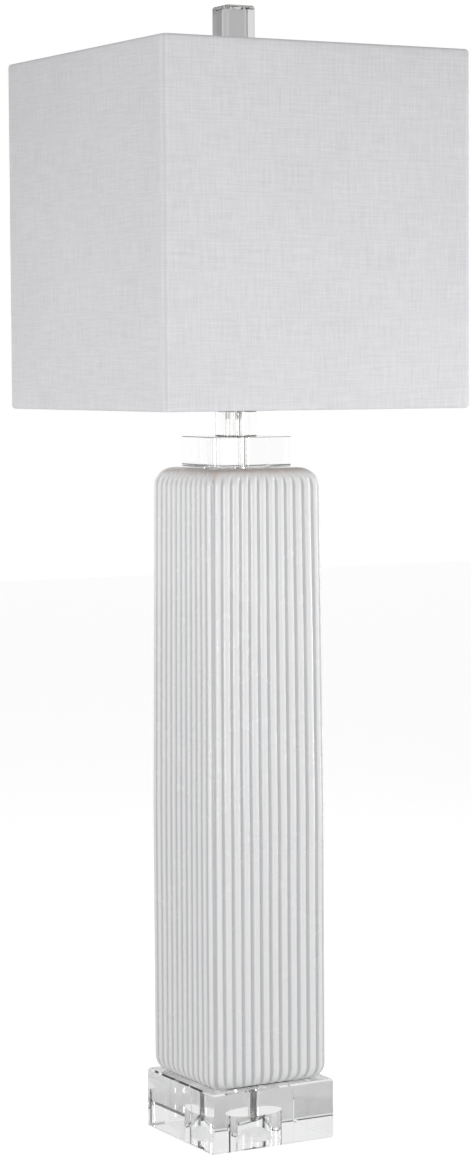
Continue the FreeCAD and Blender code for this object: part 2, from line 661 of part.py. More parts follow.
LINER_OUTER_SIDE = SHADE_SIDE - 2 * LINEN_THICKNESS
LINER_INNER_SIDE = LINER_OUTER_SIDE - 2 * LINER_THICKNESS
WIRE_CENTRE_SIDE = LINER_INNER_SIDE - 2 * RIM_WIRE_RADIUS
HEM_OUTER_SIDE = LINER_INNER_SIDE - 4 * RIM_WIRE_RADIUS
HEM_INNER_SIDE = HEM_OUTER_SIDE - 2 * LINEN_THICKNESS
Z_TOP_WIRE = Z_SHADE_TOP - LINEN_THICKNESS - RIM_WIRE_RADIUS
Z_BOTTOM_WIRE = Z_SHADE_BOTTOM + LINEN_THICKNESS + RIM_WIRE_RADIUS


def shade_corner(side):
    """Corner radius of a square that lies parallel inside the shade's outline."""
    return max(1.0, SHADE_CORNER - (SHADE_SIDE - side) / 2)


def square_tube(outer_side, inner_side, z_low, z_high):
    outer = square_prism(outer_side, z_low, z_high, shade_corner(outer_side))
    return outer.cut(square_prism(inner_side, z_low, z_high, shade_corner(inner_side)))


def shade_linen():
    """Linen cover: a wall outside the liner, turned in over each rim wire as a hem.

    The upper hem is slit where the spider's four arms reach the wire inside it.
    """
    cover = square_tube(SHADE_SIDE, LINER_OUTER_SIDE, Z_SHADE_BOTTOM, Z_SHADE_TOP)
    for z_edge, inward in ((Z_SHADE_TOP, -1), (Z_SHADE_BOTTOM, 1)):
        z_web = sorted((z_edge, z_edge + inward * LINEN_THICKNESS))
        z_hem = sorted((z_edge, z_edge + inward * HEM_DEPTH))
        cover = cover.fuse([
            square_tube(SHADE_SIDE, HEM_INNER_SIDE, *z_web),
            square_tube(HEM_OUTER_SIDE, HEM_INNER_SIDE, *z_hem)])
    slit_width = 2 * (SPIDER_ARM_RADIUS + HEM_SLIT_CLEARANCE)
    slit_height = HEM_DEPTH - LINEN_THICKNESS
    for length, width in ((HEM_OUTER_SIDE, slit_width), (slit_width, HEM_OUTER_SIDE)):
        corner = Vector(-length / 2, -width / 2, Z_SHADE_TOP - HEM_DEPTH)
        cover = cover.cut(Part.makeBox(length, width, slit_height, corner))
    return cover.removeSplitter()


def shade_liner():
    return square_tube(LINER_OUTER_SIDE, LINER_INNER_SIDE, Z_SHADE_BOTTOM + LINEN_THICKNESS,
                       Z_SHADE_TOP - LINEN_THICKNESS)


def rim_wire(z):
    """Square ring of round wire with bent corners."""
    half = WIRE_CENTRE_SIDE / 2
    bend = max(shade_corner(WIRE_CENTRE_SIDE), 1.1 * RIM_WIRE_RADIUS)
    straight = half - bend
    parts = []
    for k in range(4):
        turn = Rotation(UP, 90 * k)
        start = turn.multVec(Vector(half, -straight, 0)) + Vector(0, 0, z)
        along = turn.multVec(Vector(0, 1, 0))
        parts.append(Part.makeCylinder(RIM_WIRE_RADIUS, 2 * straight, start, along))
        centre = turn.multVec(Vector(straight, straight, 0)) + Vector(0, 0, z)
        circle = Part.Wire(Part.makeCircle(RIM_WIRE_RADIUS, centre + turn.multVec(Vector(bend, 0, 0)), along))
        parts.append(Part.Face(circle).revolve(centre, UP, 90))
    return parts[0].fuse(parts[1:]).removeSplitter()


def shade_top_wire():
    return rim_wire(Z_TOP_WIRE)


def shade_bottom_wire():
    return rim_wire(Z_BOTTOM_WIRE)


def spider_fitter():
    """Washer on the harp's stud with four wire arms, each welded to the top wire's side."""
    washer = ring_between(FITTER_RADIUS, FITTER_HOLE_RADIUS, Z_FITTER, Z_FITTER_TOP)
    washer = washer.makeChamfer(FITTER_CHAMFER, [e for e in washer.Edges if len(e.Vertexes) == 1])
    z_arm = Z_FITTER_TOP - FITTER_THICKNESS / 2
    x_wire = WIRE_CENTRE_SIDE / 2
    points = [
        Vector((FITTER_RADIUS + FITTER_HOLE_RADIUS) / 2, 0, z_arm),
        Vector(x_wire - SPIDER_RISE_LENGTH, 0, z_arm),
        Vector(x_wire, 0, Z_TOP_WIRE),
    ]
    path = rounded_path(points, [SPIDER_BEND_RADIUS])
    section = Part.Wire(Part.makeCircle(SPIDER_ARM_RADIUS, points[0], Vector(1, 0, 0)))
    arm = path.makePipeShell([section], True, False)
    arms = []
    for k in range(4):
        turned = arm.copy()
        turned.rotate(Vector(0, 0, 0), UP, 90 * k)
        arms.append(turned)
    return washer.fuse(arms).cut([rim_wire(Z_TOP_WIRE), rod_between(FITTER_HOLE_RADIUS, Z_FITTER, Z_SHADE_TOP)])


# ------------------------------------------------------------------ finial

Z_FINIAL_BORE_TOP = Z_STUD_SHOULDER + STUD_SHOULDER_HEIGHT + STUD_THREAD_HEIGHT + RUN_GAP
Z_SPIGOT_TOP = Z_FINIAL_BORE_TOP + FINIAL_SPIGOT_CAP
SPIGOT_RADIUS = STUD_THREAD_RADIUS + FINIAL_SPIGOT_WALL


def finial_base():
    """Turned metal base, threaded inside for the harp's stud, with a spigot glued into the crystal."""
    bore = STUD_THREAD_RADIUS + SHAFT_CLEARANCE
    z_waist = Z_FINIAL + FINIAL_BASE_HEIGHT / 2
    chamfer = FINIAL_BASE_CHAMFER
    return revolved([
        (bore, Z_FINIAL),
        (FINIAL_BASE_RADIUS - chamfer, Z_FINIAL),
        (FINIAL_BASE_RADIUS, Z_FINIAL + chamfer),
        (FINIAL_BASE_RADIUS, Z_FINIAL + FINIAL_RIM_HEIGHT),
        (FINIAL_NECK_RADIUS, z_waist),
        (FINIAL_NECK_RADIUS, z_waist + FINIAL_NECK_HEIGHT),
        (FINIAL_BASE_RADIUS, Z_FINIAL_BLOCK - chamfer),
        (FINIAL_BASE_RADIUS, Z_FINIAL_BLOCK),
        (SPIGOT_RADIUS, Z_FINIAL_BLOCK),
        (SPIGOT_RADIUS, Z_SPIGOT_TOP),
        (0, Z_SPIGOT_TOP),
        (0, Z_FINIAL_BORE_TOP),
        (bore, Z_FINIAL_BORE_TOP),
    ])


def finial_crystal():
    block = bevelled_block(FINIAL_SIDE, Z_FINIAL_BLOCK, Z_FINIAL_BLOCK + FINIAL_HEIGHT, FINIAL_BEVEL)
    return block.cut(rod_between(SPIGOT_RADIUS + FINIAL_SPIGOT_CLEARANCE, Z_FINIAL_BLOCK,
                                 Z_SPIGOT_TOP + FINIAL_SPIGOT_CLEARANCE))


# ------------------------------------------------------------------ export

NODES = {
    "crystal_base": crystal_base,
    "base_washer": base_washer,
    "base_nut": base_nut,
    "threaded_rod": threaded_rod,
    "foot_gasket": foot_gasket,
    "column": column,
    "cord_bushing": cord_bushing,
    "top_gasket": top_gasket,
    "crystal_plate": crystal_plate,
    "crystal_neck": crystal_neck,
    "neck_cap": neck_cap,
    "harp_saddle": harp_saddle,
    "lock_nut": lock_nut,
    "socket_cap": socket_cap,
    "socket_set_screw": socket_set_screw,
    "socket_shell": socket_shell,
    "socket_liner": socket_liner,
    "socket_insulator": socket_insulator,
    "terminal_screws": terminal_screws,
    "screw_shell": screw_shell,
    "centre_contact": centre_contact,
    "switch_knob": switch_knob,
    "harp": harp,
    "ferrule_left": lambda: ferrule(-1),
    "ferrule_right": lambda: ferrule(1),
    "harp_stud": harp_stud,
    "spider_fitter": spider_fitter,
    "shade_top_wire": shade_top_wire,
    "shade_bottom_wire": shade_bottom_wire,
    "shade_liner": shade_liner,
    "shade_linen": shade_linen,
    "finial_base": finial_base,
    "finial_crystal": finial_crystal,
}

os.makedirs("parts", exist_ok=True)
for node, build in NODES.items():
    shape = build()
    shape.exportStep(os.path.join("parts", node + ".step"))
    print(node, "solids", len(shape.Solids), "valid", shape.isValid(), "volume", round(shape.Volume, 1))
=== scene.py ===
import math

import bmesh
import bpy
from mathutils import Matrix, Vector, noise


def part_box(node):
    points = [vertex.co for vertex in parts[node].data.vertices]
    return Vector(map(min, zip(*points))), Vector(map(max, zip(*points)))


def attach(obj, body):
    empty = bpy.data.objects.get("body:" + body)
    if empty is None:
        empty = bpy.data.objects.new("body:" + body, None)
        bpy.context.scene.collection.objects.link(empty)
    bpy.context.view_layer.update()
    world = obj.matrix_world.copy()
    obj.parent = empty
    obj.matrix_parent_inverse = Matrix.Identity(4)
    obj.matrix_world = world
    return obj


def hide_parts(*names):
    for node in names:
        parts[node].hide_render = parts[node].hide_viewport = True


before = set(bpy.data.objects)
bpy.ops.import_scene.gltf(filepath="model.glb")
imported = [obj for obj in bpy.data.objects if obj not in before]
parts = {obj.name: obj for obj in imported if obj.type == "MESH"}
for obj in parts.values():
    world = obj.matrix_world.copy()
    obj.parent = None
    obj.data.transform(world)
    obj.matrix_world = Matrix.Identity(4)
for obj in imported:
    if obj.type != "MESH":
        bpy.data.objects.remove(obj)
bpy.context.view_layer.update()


# ------------------------------------------------------------------ crystal base
# A thick block of clear lead-free crystal, sawn, polished and given a small cut bevel on
# every edge. A round recess underneath hides the rod's nut, and a drilled hole lets the rod
# up into the column. Blocks that lie on each other are parted by a film of air.

MM = 0.001
BASE_BEVEL = 1.3 * MM
RECESS_RADIUS = 25.5 * MM
RECESS_DEPTH = 22.0 * MM
ROD_HOLE_RADIUS = 5.5 * MM
AIR_FILM = 0.03 * MM
DRILL_OVERRUN = 10.0 * MM
ROUND_FACETS = 192
CRYSTAL_TINT = (0.995, 1.0, 0.998, 1.0)
CRYSTAL_INDEX = 1.52


def add(tree, kind, inputs=(), **settings):
    """Adds a node, and sets or links its inputs by name or number."""
    node = tree.nodes.new(kind)
    for key, value in settings.items():
        setattr(node, key, value)
    for key, value in dict(inputs).items():
        if isinstance(value, bpy.types.NodeSocket):
            tree.links.new(value, node.inputs[key])
        else:
            node.inputs[key].default_value = value
    return node


def new_finish(name):
    """Starts a finish with one Principled surface, and returns both with their tree."""
    finish = bpy.data.materials.new(name)
    finish.use_nodes = True
    return finish, finish.node_tree, finish.node_tree.nodes["Principled BSDF"]


def set_surface(surface, **values):
    """Sets the shader's own sockets: plain values, written with underscores for spaces."""
    for key, value in values.items():
        surface.inputs[key.replace("_", " ")].default_value = value


def speckle(tree, scale, low, high, detail=3.0, stretch=(1, 1, 1)):
    """A noise on the object's own coordinates, spread between two values."""
    place = add(tree, "ShaderNodeTexCoord").outputs["Object"]
    turned = add(tree, "ShaderNodeMapping", {"Vector": place, "Scale": stretch})
    grain = add(tree, "ShaderNodeTexNoise", {"Vector": turned.outputs[0], "Scale": scale, "Detail": detail})
    spread = add(tree, "ShaderNodeMapRange", {"Value": grain.outputs[0], "To Min": low, "To Max": high})
    return spread.outputs[0]


def between(tree, share, low, high):
    """A colour between two others, by a share from 0 to 1."""
    ramp = add(tree, "ShaderNodeMix", {"Factor": share}, data_type="RGBA")
    ramp.inputs["A"].default_value = low
    ramp.inputs["B"].default_value = high
    return ramp.outputs["Result"]


def raise_surface(tree, surface, height, distance, strength=1.0):
    """Feeds a height into the surface as relief."""
    relief = add(tree, "ShaderNodeBump", {"Height": height, "Distance": distance, "Strength": strength})
    tree.links.new(relief.outputs[0], surface.inputs["Normal"])


def link_piece(name, mesh):
    piece = bpy.data.objects.new(name, mesh)
    bpy.context.scene.collection.objects.link(piece)
    return piece


def keep_evaluated(piece):
    """Replaces a piece's mesh by what its modifiers make of it."""
    depsgraph = bpy.context.evaluated_depsgraph_get()
    mesh = bpy.data.meshes.new_from_object(piece.evaluated_get(depsgraph), preserve_all_data_layers=True,
                                           depsgraph=depsgraph)
    piece.modifiers.clear()
    piece.data = mesh


def crisp(piece, degrees=30):
    """Round faces look round, and edges steeper than this stay sharp."""
    piece.data.shade_smooth()
    piece.data.set_sharp_from_angle(angle=math.radians(degrees))


def polished_block(name, node, bevel):
    """Square crystal block in a node's box, an air film short of its neighbours."""
    low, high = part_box(node)
    low.z += AIR_FILM
    high.z -= AIR_FILM
    shape = bmesh.new()
    size = Matrix.Diagonal((*(high - low), 1))
    bmesh.ops.create_cube(shape, size=1, matrix=Matrix.Translation((low + high) / 2) @ size)
    bmesh.ops.bevel(shape, geom=shape.edges[:], offset=bevel, segments=1, profile=0.5, affect="EDGES")
    mesh = bpy.data.meshes.new(name)
    shape.to_mesh(mesh)
    return link_piece(name, mesh)


def bore(piece, start, end, radius):
    """Drills a round hole from one point to another."""
    start, end = Vector(start), Vector(end)
    turn = (end - start).to_track_quat("Z", "Y").to_matrix().to_4x4()
    shape = bmesh.new()
    bmesh.ops.create_cone(shape, cap_ends=True, segments=ROUND_FACETS, radius1=radius, radius2=radius,
                          depth=(end - start).length, matrix=Matrix.Translation((start + end) / 2) @ turn)
    mesh = bpy.data.meshes.new("drill")
    shape.to_mesh(mesh)
    drill = link_piece("drill", mesh)
    cut = piece.modifiers.new("hole", "BOOLEAN")
    cut.operation, cut.solver, cut.object = "DIFFERENCE", "EXACT", drill
    keep_evaluated(piece)
    bpy.data.objects.remove(drill)


def cut_crystal():
    """Clear crystal with the faint waviness of a hand-held polish."""
    finish, tree, surface = new_finish("cut_crystal")
    set_surface(surface, Base_Color=CRYSTAL_TINT, Roughness=0.0, IOR=CRYSTAL_INDEX, Transmission_Weight=1.0)
    raise_surface(tree, surface, speckle(tree, 30.0, 0.0, 1.0, detail=1.0), 0.03 * MM, 0.25)
    return finish


crystal = cut_crystal()
base_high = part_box("crystal_base")[1]
base_block = polished_block("base_block", "crystal_base", BASE_BEVEL)
bore(base_block, (0, 0, -DRILL_OVERRUN), (0, 0, RECESS_DEPTH + AIR_FILM), RECESS_RADIUS)
bore(base_block, (0, 0, RECESS_DEPTH - MM), (0, 0, base_high.z + DRILL_OVERRUN), ROD_HOLE_RADIUS)
crisp(base_block)
base_block.data.materials.append(crystal)
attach(base_block, "lamp")
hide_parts("crystal_base")


# ------------------------------------------------------------------ rod, washer and nuts
# One length of zinc-plated lamp pipe clamps the whole lamp. It is plain in the middle and
# threaded at both ends; a washer and a nut hold it in the base's recess, and a second nut
# holds it on the saddle.

ROD_RADIUS = 4.9 * MM
ROD_BORE_RADIUS = 3.2 * MM
ROD_THREAD_PITCH = 0.94 * MM
ROD_THREAD_DEPTH = 0.35 * MM
ROD_THREAD_LENGTH = 22.0 * MM
THREAD_POINTS = 28
NICKEL_COLOUR = (0.76, 0.745, 0.72, 1.0)
PIPE_PAINTED_SHADE = (0.30, 0.295, 0.285, 1.0)
PIPE_PAINTED_LIGHT = (0.93, 0.925, 0.91, 1.0)
ZINC_COLOUR = (0.50, 0.50, 0.49, 1.0)
ZINC_DULL = (0.33, 0.33, 0.325, 1.0)


def lathe(name, profile, facets=96):
    """Turns a closed list of (radius, height) points about the lamp's axis."""
    shape = bmesh.new()
    rings = []
    for k in range(facets):
        turn = 2 * math.pi * k / facets
        rings.append([shape.verts.new((r * math.cos(turn), r * math.sin(turn), z)) for r, z in profile])
    for k in range(facets):
        ring, after = rings[k], rings[(k + 1) % facets]
        for j in range(len(profile)):
            beyond = (j + 1) % len(profile)
            shape.faces.new((ring[j], after[j], after[beyond], ring[beyond]))
    bmesh.ops.remove_doubles(shape, verts=shape.verts[:], dist=1e-7)
    bmesh.ops.recalc_face_normals(shape, faces=shape.faces[:])
    mesh = bpy.data.meshes.new(name)
    shape.to_mesh(mesh)
    return link_piece(name, mesh)


def start_tree(name, sizes):
    """Starts a Geometry Nodes tree with a named input for each size, whole or not."""
    tree = bpy.data.node_groups.new(name, "GeometryNodeTree")
    tree.interface.new_socket("Geometry", in_out="OUTPUT", socket_type="NodeSocketGeometry")
    for label, value in sizes.items():
        kind = "NodeSocketInt" if isinstance(value, int) else "NodeSocketFloat"
        tree.interface.new_socket(label, in_out="INPUT", socket_type=kind)
    return tree, add(tree, "NodeGroupInput").outputs


def end_tree(tree, geometry, finish):
    """Ends a tree in real geometry that wears one finish."""
    real = add(tree, "GeometryNodeRealizeInstances", {"Geometry": geometry})
    worn = add(tree, "GeometryNodeSetMaterial", {"Geometry": real.outputs[0], "Material": finish})
    add(tree, "NodeGroupOutput", {0: worn.outputs[0]})


def grow(name, tree, sizes):
    """Runs a tree with these sizes and keeps what it makes as a plain mesh."""
    piece = link_piece(name, bpy.data.meshes.new(name))
    growth = piece.modifiers.new("growth", "NODES")
    growth.node_group = tree
    for item in tree.interface.items_tree:
        if item.in_out == "INPUT":
            growth[item.identifier] = sizes[item.name]
    keep_evaluated(piece)
    return piece


def thread_tree(finish, sizes):
    """A ridge that winds up a core: the crest of a screw thread."""
    tree, given = start_tree("screw_thread", sizes)
    rise = add(tree, "ShaderNodeMath", {0: given["Pitch"], 1: given["Turns"]}, operation="MULTIPLY")
    helix = add(tree, "GeometryNodeCurveSpiral", {
        "Resolution": THREAD_POINTS, "Rotations": given["Turns"], "Start Radius": given["Core Radius"],
        "End Radius": given["Core Radius"], "Height": rise.outputs[0]})
    upright = add(tree, "GeometryNodeSetCurveNormal", {"Curve": helix.outputs[0]}, mode="Z_UP")
    crest = add(tree, "GeometryNodeCurvePrimitiveCircle", {
        "Resolution": given["Crest Points"], "Radius": given["Ridge"]})
    ridge = add(tree, "GeometryNodeCurveToMesh", {
        "Curve": upright.outputs[0], "Profile Curve": crest.outputs[0], "Fill Caps": True})
    end_tree(tree, ridge.outputs[0], finish)
    return tree


def thread(name, finish, radius, pitch, ridge, z_low, z_high, crest_points=4):
    """Winds a thread on a core between two heights, clear of both ends."""
    turns = (z_high - z_low - 2 * ridge) / pitch
    sizes = {"Core Radius": radius, "Pitch": pitch, "Turns": turns, "Ridge": ridge,
             "Crest Points": crest_points}
    piece = grow(name, thread_tree(finish, sizes), sizes)
    piece.data.transform(Matrix.Translation((0, 0, z_low + ridge)))
    return piece


def nickel_plate():
    """Bright nickel plate: a clear reflection with faint wipe marks."""
    finish, tree, surface = new_finish("nickel_plate")
    set_surface(surface, Base_Color=NICKEL_COLOUR, Metallic=1.0)
    tree.links.new(speckle(tree, 60.0, 0.05, 0.16), surface.inputs["Roughness"])
    raise_surface(tree, surface, speckle(tree, 900.0, 0.0, 1.0), 0.01 * MM, 0.3)
    return finish


def zinc_plate():
    """Zinc plate on steel, dulled in patches."""
    finish, tree, surface = new_finish("zinc_plate")
    set_surface(surface, Metallic=1.0)
    patches = speckle(tree, 180.0, 0.0, 1.0)
    tree.links.new(between(tree, patches, ZINC_COLOUR, ZINC_DULL), surface.inputs["Base Color"])
    tree.links.new(speckle(tree, 240.0, 0.25, 0.5), surface.inputs["Roughness"])
    raise_surface(tree, surface, speckle(tree, 1500.0, 0.0, 1.0), 0.02 * MM, 0.5)
    return finish


def pipe_plate(z_painted_light):
    """Lamp pipe: painted dark below a height as painted shade, and painted light above it as painted light.
    """
    finish, tree, surface = new_finish("pipe_plate")
    set_surface(surface, Metallic=1.0)
    place = add(tree, "ShaderNodeTexCoord").outputs["Object"]
    height = add(tree, "ShaderNodeSeparateXYZ", {0: place}).outputs["Z"]
    # painted shade on the pipe below this height, painted light above it
    painted_light_share = add(tree, "ShaderNodeMath", {0: height, 1: z_painted_light}, operation="GREATER_THAN").outputs[0]
    tree.links.new(between(tree, painted_light_share, PIPE_PAINTED_SHADE, PIPE_PAINTED_LIGHT), surface.inputs["Base Color"])
    tree.links.new(speckle(tree, 120.0, 0.10, 0.20), surface.inputs["Roughness"])
    raise_surface(tree, surface, speckle(tree, 600.0, 0.0, 1.0), 0.01 * MM, 0.2)
    return finish


def dress(node, finish):
    """Gives a carried-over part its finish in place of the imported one."""
    for place in parts[node].material_slots:
        place.material = finish


nickel = nickel_plate()
zinc = zinc_plate()
pipe = pipe_plate(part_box("column")[1].z)
rod_low, rod_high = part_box("threaded_rod")
core = ROD_RADIUS - ROD_THREAD_DEPTH
rod = lathe("lamp_pipe", [
    (ROD_BORE_RADIUS, rod_low.z), (core, rod_low.z), (core, rod_low.z + ROD_THREAD_LENGTH),
    (ROD_RADIUS, rod_low.z + ROD_THREAD_LENGTH), (ROD_RADIUS, rod_high.z - ROD_THREAD_LENGTH),
    (core, rod_high.z - ROD_THREAD_LENGTH), (core, rod_high.z), (ROD_BORE_RADIUS, rod_high.z)])
crisp(rod)
rod.data.materials.append(pipe)
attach(rod, "lamp")
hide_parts("threaded_rod")
for end, z_low in (("lower", rod_low.z), ("upper", rod_high.z - ROD_THREAD_LENGTH)):
    wound = thread("pipe_thread_" + end, pipe, core, ROD_THREAD_PITCH, ROD_THREAD_DEPTH,
                   z_low, z_low + ROD_THREAD_LENGTH)
    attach(wound, "lamp")
for node in ("base_washer", "base_nut", "lock_nut"):
    dress(node, zinc)


# ------------------------------------------------------------------ clear gaskets
# Two sheets of clear soft vinyl, die-cut, keep the ceramic off the crystal: a square one
# under the column's foot and a round one on its head.

VINYL_COLOUR = (0.985, 0.99, 0.99, 1.0)


def clear_vinyl():
    """Soft vinyl, slightly clouded."""
    finish, tree, surface = new_finish("clear_vinyl")
    set_surface(surface, Base_Color=VINYL_COLOUR, IOR=1.45, Transmission_Weight=1.0)
    tree.links.new(speckle(tree, 150.0, 0.02, 0.10), surface.inputs["Roughness"])
    raise_surface(tree, surface, speckle(tree, 300.0, 0.0, 1.0), 0.02 * MM, 0.3)
    return finish


def slip_sheet(name, node, finish):
    """Copies a flat part, an air film thinner on both faces."""
    low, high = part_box(node)
    middle = (low.z + high.z) / 2
    shape = bmesh.new()
    shape.from_mesh(parts[node].data)
    bmesh.ops.remove_doubles(shape, verts=shape.verts[:], dist=1e-6)
    for corner in shape.verts:
        corner.co.z += AIR_FILM if corner.co.z < middle else -AIR_FILM
    mesh = bpy.data.meshes.new(name)
    shape.to_mesh(mesh)
    mesh.materials.append(finish)
    piece = link_piece(name, mesh)
    crisp(piece)
    return piece


vinyl = clear_vinyl()
for name, node in (("foot_slip", "foot_gasket"), ("head_slip", "top_gasket")):
    slip = slip_sheet(name, node, vinyl)
    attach(slip, "lamp")
    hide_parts(node)


# ------------------------------------------------------------------ ribbed column
# A tall square shell of white earthenware, slip-cast in a plaster mould. Its ribs run from
# the rounded foot to the rounded shoulder and waver as cast clay does. The glossy white
# glaze pools blue-grey in the grooves, darkened there further as painted shade, and breaks
# to warm clay along the shoulder.

COLUMN_FOOT_HALF = 55.0 * MM
COLUMN_TOP_HALF = 53.0 * MM
COLUMN_CORNER = 11.0 * MM
RIB_COUNT = 48
RIB_POINTS = 18
COLUMN_ROWS = 96
RIB_DEPTH = 1.8 * MM
RIB_END_DEPTH = 0.1 * MM
GROOVE_SHARE = 0.30
CORNER_GROOVE_EXTRA = 0.22
FOOT_INSET = 8.0 * MM
FOOT_RISE = 12.0 * MM
FOOT_FADE_ANGLE = 100.0
FOOT_ROWS_SHARE = 0.10
HEAD_INSET = 13.0 * MM
HEAD_RISE = 16.0 * MM
HEAD_FADE_ANGLE = 60.0
HEAD_ROWS_SHARE = 0.14
TAPER_START = 0.45
RIB_WAVER = 0.16
WAVER_SCALE = 16.0
WAVER_SQUEEZE = 0.35
WAVER_FADE = 0.05
CAP_RIM = 2.0 * MM
CORD_HOLE_DEPTH = 16.0 * MM
BUSHING_RADIUS = 6.0 * MM
GLAZE_WHITE = (0.80, 0.80, 0.80, 1.0)
GLAZE_POOLED_AND_SHADED = (0.52, 0.525, 0.545, 1.0)
POOL_AND_SHADE_START = 0.42
POOL_AND_SHADE_FULL = 0.82
GLAZE_BROKEN = (0.60, 0.43, 0.37, 1.0)
BREAK_GAIN = 3.0
SHOULDER_BREAK_START = 1.3
SHOULDER_BREAK_RISE = 8.0
FOOT_BREAK_START = 2.4
FOOT_BREAK_SHARE = 0.35


class Term:
    """A number inside a node tree, so that a rule can be written as a formula."""

    def __init__(self, tree, socket):
        self.tree = tree
        self.socket = socket

    def calc(self, operation, *others):
        inputs = {0: self.socket}
        for place, other in enumerate(others, 1):
            inputs[place] = other.socket if isinstance(other, Term) else other
        return Term(self.tree, add(self.tree, "ShaderNodeMath", inputs, operation=operation).outputs[0])

    def __add__(self, other):
        return self.calc("ADD", other)

    def __sub__(self, other):
        return self.calc("SUBTRACT", other)

    def __mul__(self, other):
        return self.calc("MULTIPLY", other)

    def __truediv__(self, other):
        return self.calc("DIVIDE", other)

    def clamped(self, low, high):
        return self.calc("MAXIMUM", low).calc("MINIMUM", high)


def column_tree(finish, sizes):
    """Ribs along a rounded square, carried up a foot, a tapering wall and a shoulder."""
    tree, given = start_tree("ribbed_column", sizes)

    def size(label):
        return Term(tree, given[label])

    across = size("Ribs") * size("Points") + 1
    sheet = add(tree, "GeometryNodeMeshGrid", {
        "Size X": 1.0, "Size Y": 1.0, "Vertices X": across.socket, "Vertices Y": given["Rows"]})
    place = add(tree, "ShaderNodeSeparateXYZ", {0: add(tree, "GeometryNodeInputPosition").outputs[0]})
    round_share = Term(tree, place.outputs["X"]) + 0.5
    up_share = Term(tree, place.outputs["Y"]) + 0.5

    # up the column: the turns of foot and shoulder in quarter circles, and the wall between
    wall_share = 1 - FOOT_ROWS_SHARE - HEAD_ROWS_SHARE
    foot_turn = (up_share / -FOOT_ROWS_SHARE + 1).clamped(0, 1)
    head_turn = ((up_share - (1 - HEAD_ROWS_SHARE)) / HEAD_ROWS_SHARE).clamped(0, 1)
    wall = ((up_share - FOOT_ROWS_SHARE) / wall_share).clamped(0, 1)
    foot_angle = foot_turn * (math.pi / 2)
    head_angle = head_turn * (math.pi / 2)
    z_foot = size("Z Low") + size("Foot Rise")
    z_head = size("Z High") - size("Head Rise")
    height = (z_foot + (z_head - z_foot) * wall - size("Foot Rise") * foot_angle.calc("SINE")
              + size("Head Rise") * head_angle.calc("SINE"))
    inset = (size("Foot Inset") * (foot_angle.calc("COSINE") * -1 + 1)
             + size("Head Inset") * (head_angle.calc("COSINE") * -1 + 1))
    taper = ((wall - TAPER_START) / (1 - TAPER_START)).clamped(0, 1)
    wall_half = size("Foot Half") - (size("Foot Half") - size("Top Half")) * taper
    shrink = inset / wall_half * -1 + 1
    half = wall_half * shrink
    corner = size("Corner") * shrink
    fade = ((foot_angle * (90.0 / FOOT_FADE_ANGLE)).clamped(0, math.pi / 2).calc("COSINE")
            * (head_angle * (90.0 / HEAD_FADE_ANGLE)).clamped(0, math.pi / 2).calc("COSINE"))
    depth = (size("Rib Depth") * fade).calc("MAXIMUM", RIB_END_DEPTH)

    # round the column: distance from the middle of a corner's arc, on one of four like sides
    quarters = round_share * 4
    side = quarters.calc("FLOOR").calc("MINIMUM", 3)
    flat = (half - corner) * 2
    half_arc = corner * (math.pi / 4)
    along = (quarters - side) * (flat + half_arc * 2)
    before = along.calc("MINIMUM", half_arc)
    after = (along - half_arc - flat).calc("MAXIMUM", 0)
    turn = (before + after) / corner - math.pi / 4
    centre_y = (along - half_arc).calc("MAXIMUM", 0).calc("MINIMUM", flat) + corner - half

    # the ribs: narrow round grooves that waver a little, each side in its own way and none
    # at the corners, between wide crowns
    wander = add(tree, "ShaderNodeCombineXYZ", {
        0: (turn.calc("COSINE") * half + side * 0.3).socket, 1: (centre_y + side).socket,
        2: (height * WAVER_SQUEEZE).socket})
    drift = add(tree, "ShaderNodeTexNoise", {
        "Vector": wander.outputs[0], "Scale": WAVER_SCALE, "Detail": 1.0})
    swing = (quarters - side - 0.5).calc("ABSOLUTE") * (-1 / WAVER_FADE) + 0.5 / WAVER_FADE
    waver = (Term(tree, drift.outputs[0]) - 0.5) * size("Waver") * swing.clamped(0, 1)
    phase = (round_share * size("Ribs") + waver).calc("FRACT")
    off_groove = phase.calc("MINIMUM", phase * -1 + 1)
    off_corner = (quarters - side).calc("MINIMUM", (quarters - side) * -1 + 1)
    at_corner = (off_corner * size("Ribs") / -2 + 1).clamped(0, 1)
    half_groove = size("Groove Share") / 2 + at_corner * (CORNER_GROOVE_EXTRA / 2)
    groove = (off_groove / half_groove).calc("MINIMUM", 1)
    crown = ((off_groove * -1 + 0.5) / (half_groove * -1 + 0.5)).calc("MINIMUM", 1)
    in_groove = off_groove.calc("LESS_THAN", half_groove)
    groove_depth = groove * groove * size("Groove Share") * -1 + 1
    crown_depth = crown * crown * (size("Groove Share") * -1 + 1)
    share = crown_depth + (groove_depth - crown_depth) * in_groove

    reach = corner - depth * share
    x = half - corner + reach * turn.calc("COSINE")
    y = centre_y + reach * turn.calc("SINE")
    spot = add(tree, "ShaderNodeCombineXYZ", {0: x.socket, 1: y.socket, 2: height.socket})
    spun = add(tree, "ShaderNodeVectorRotate", {
        "Vector": spot.outputs[0], "Angle": (side * (math.pi / 2)).socket}, rotation_type="Z_AXIS")
    skin = sheet.outputs["Mesh"]
    for label, value in (("groove", share * fade), ("shoulder", head_turn), ("foot", foot_turn),
                         ("corner", at_corner)):
        skin = add(tree, "GeometryNodeStoreNamedAttribute", {
            "Geometry": skin, "Name": label, "Value": value.socket}, data_type="FLOAT").outputs[0]
    moved = add(tree, "GeometryNodeSetPosition", {"Geometry": skin, "Position": spun.outputs[0]})
    end_tree(tree, moved.outputs[0], finish)
    return tree


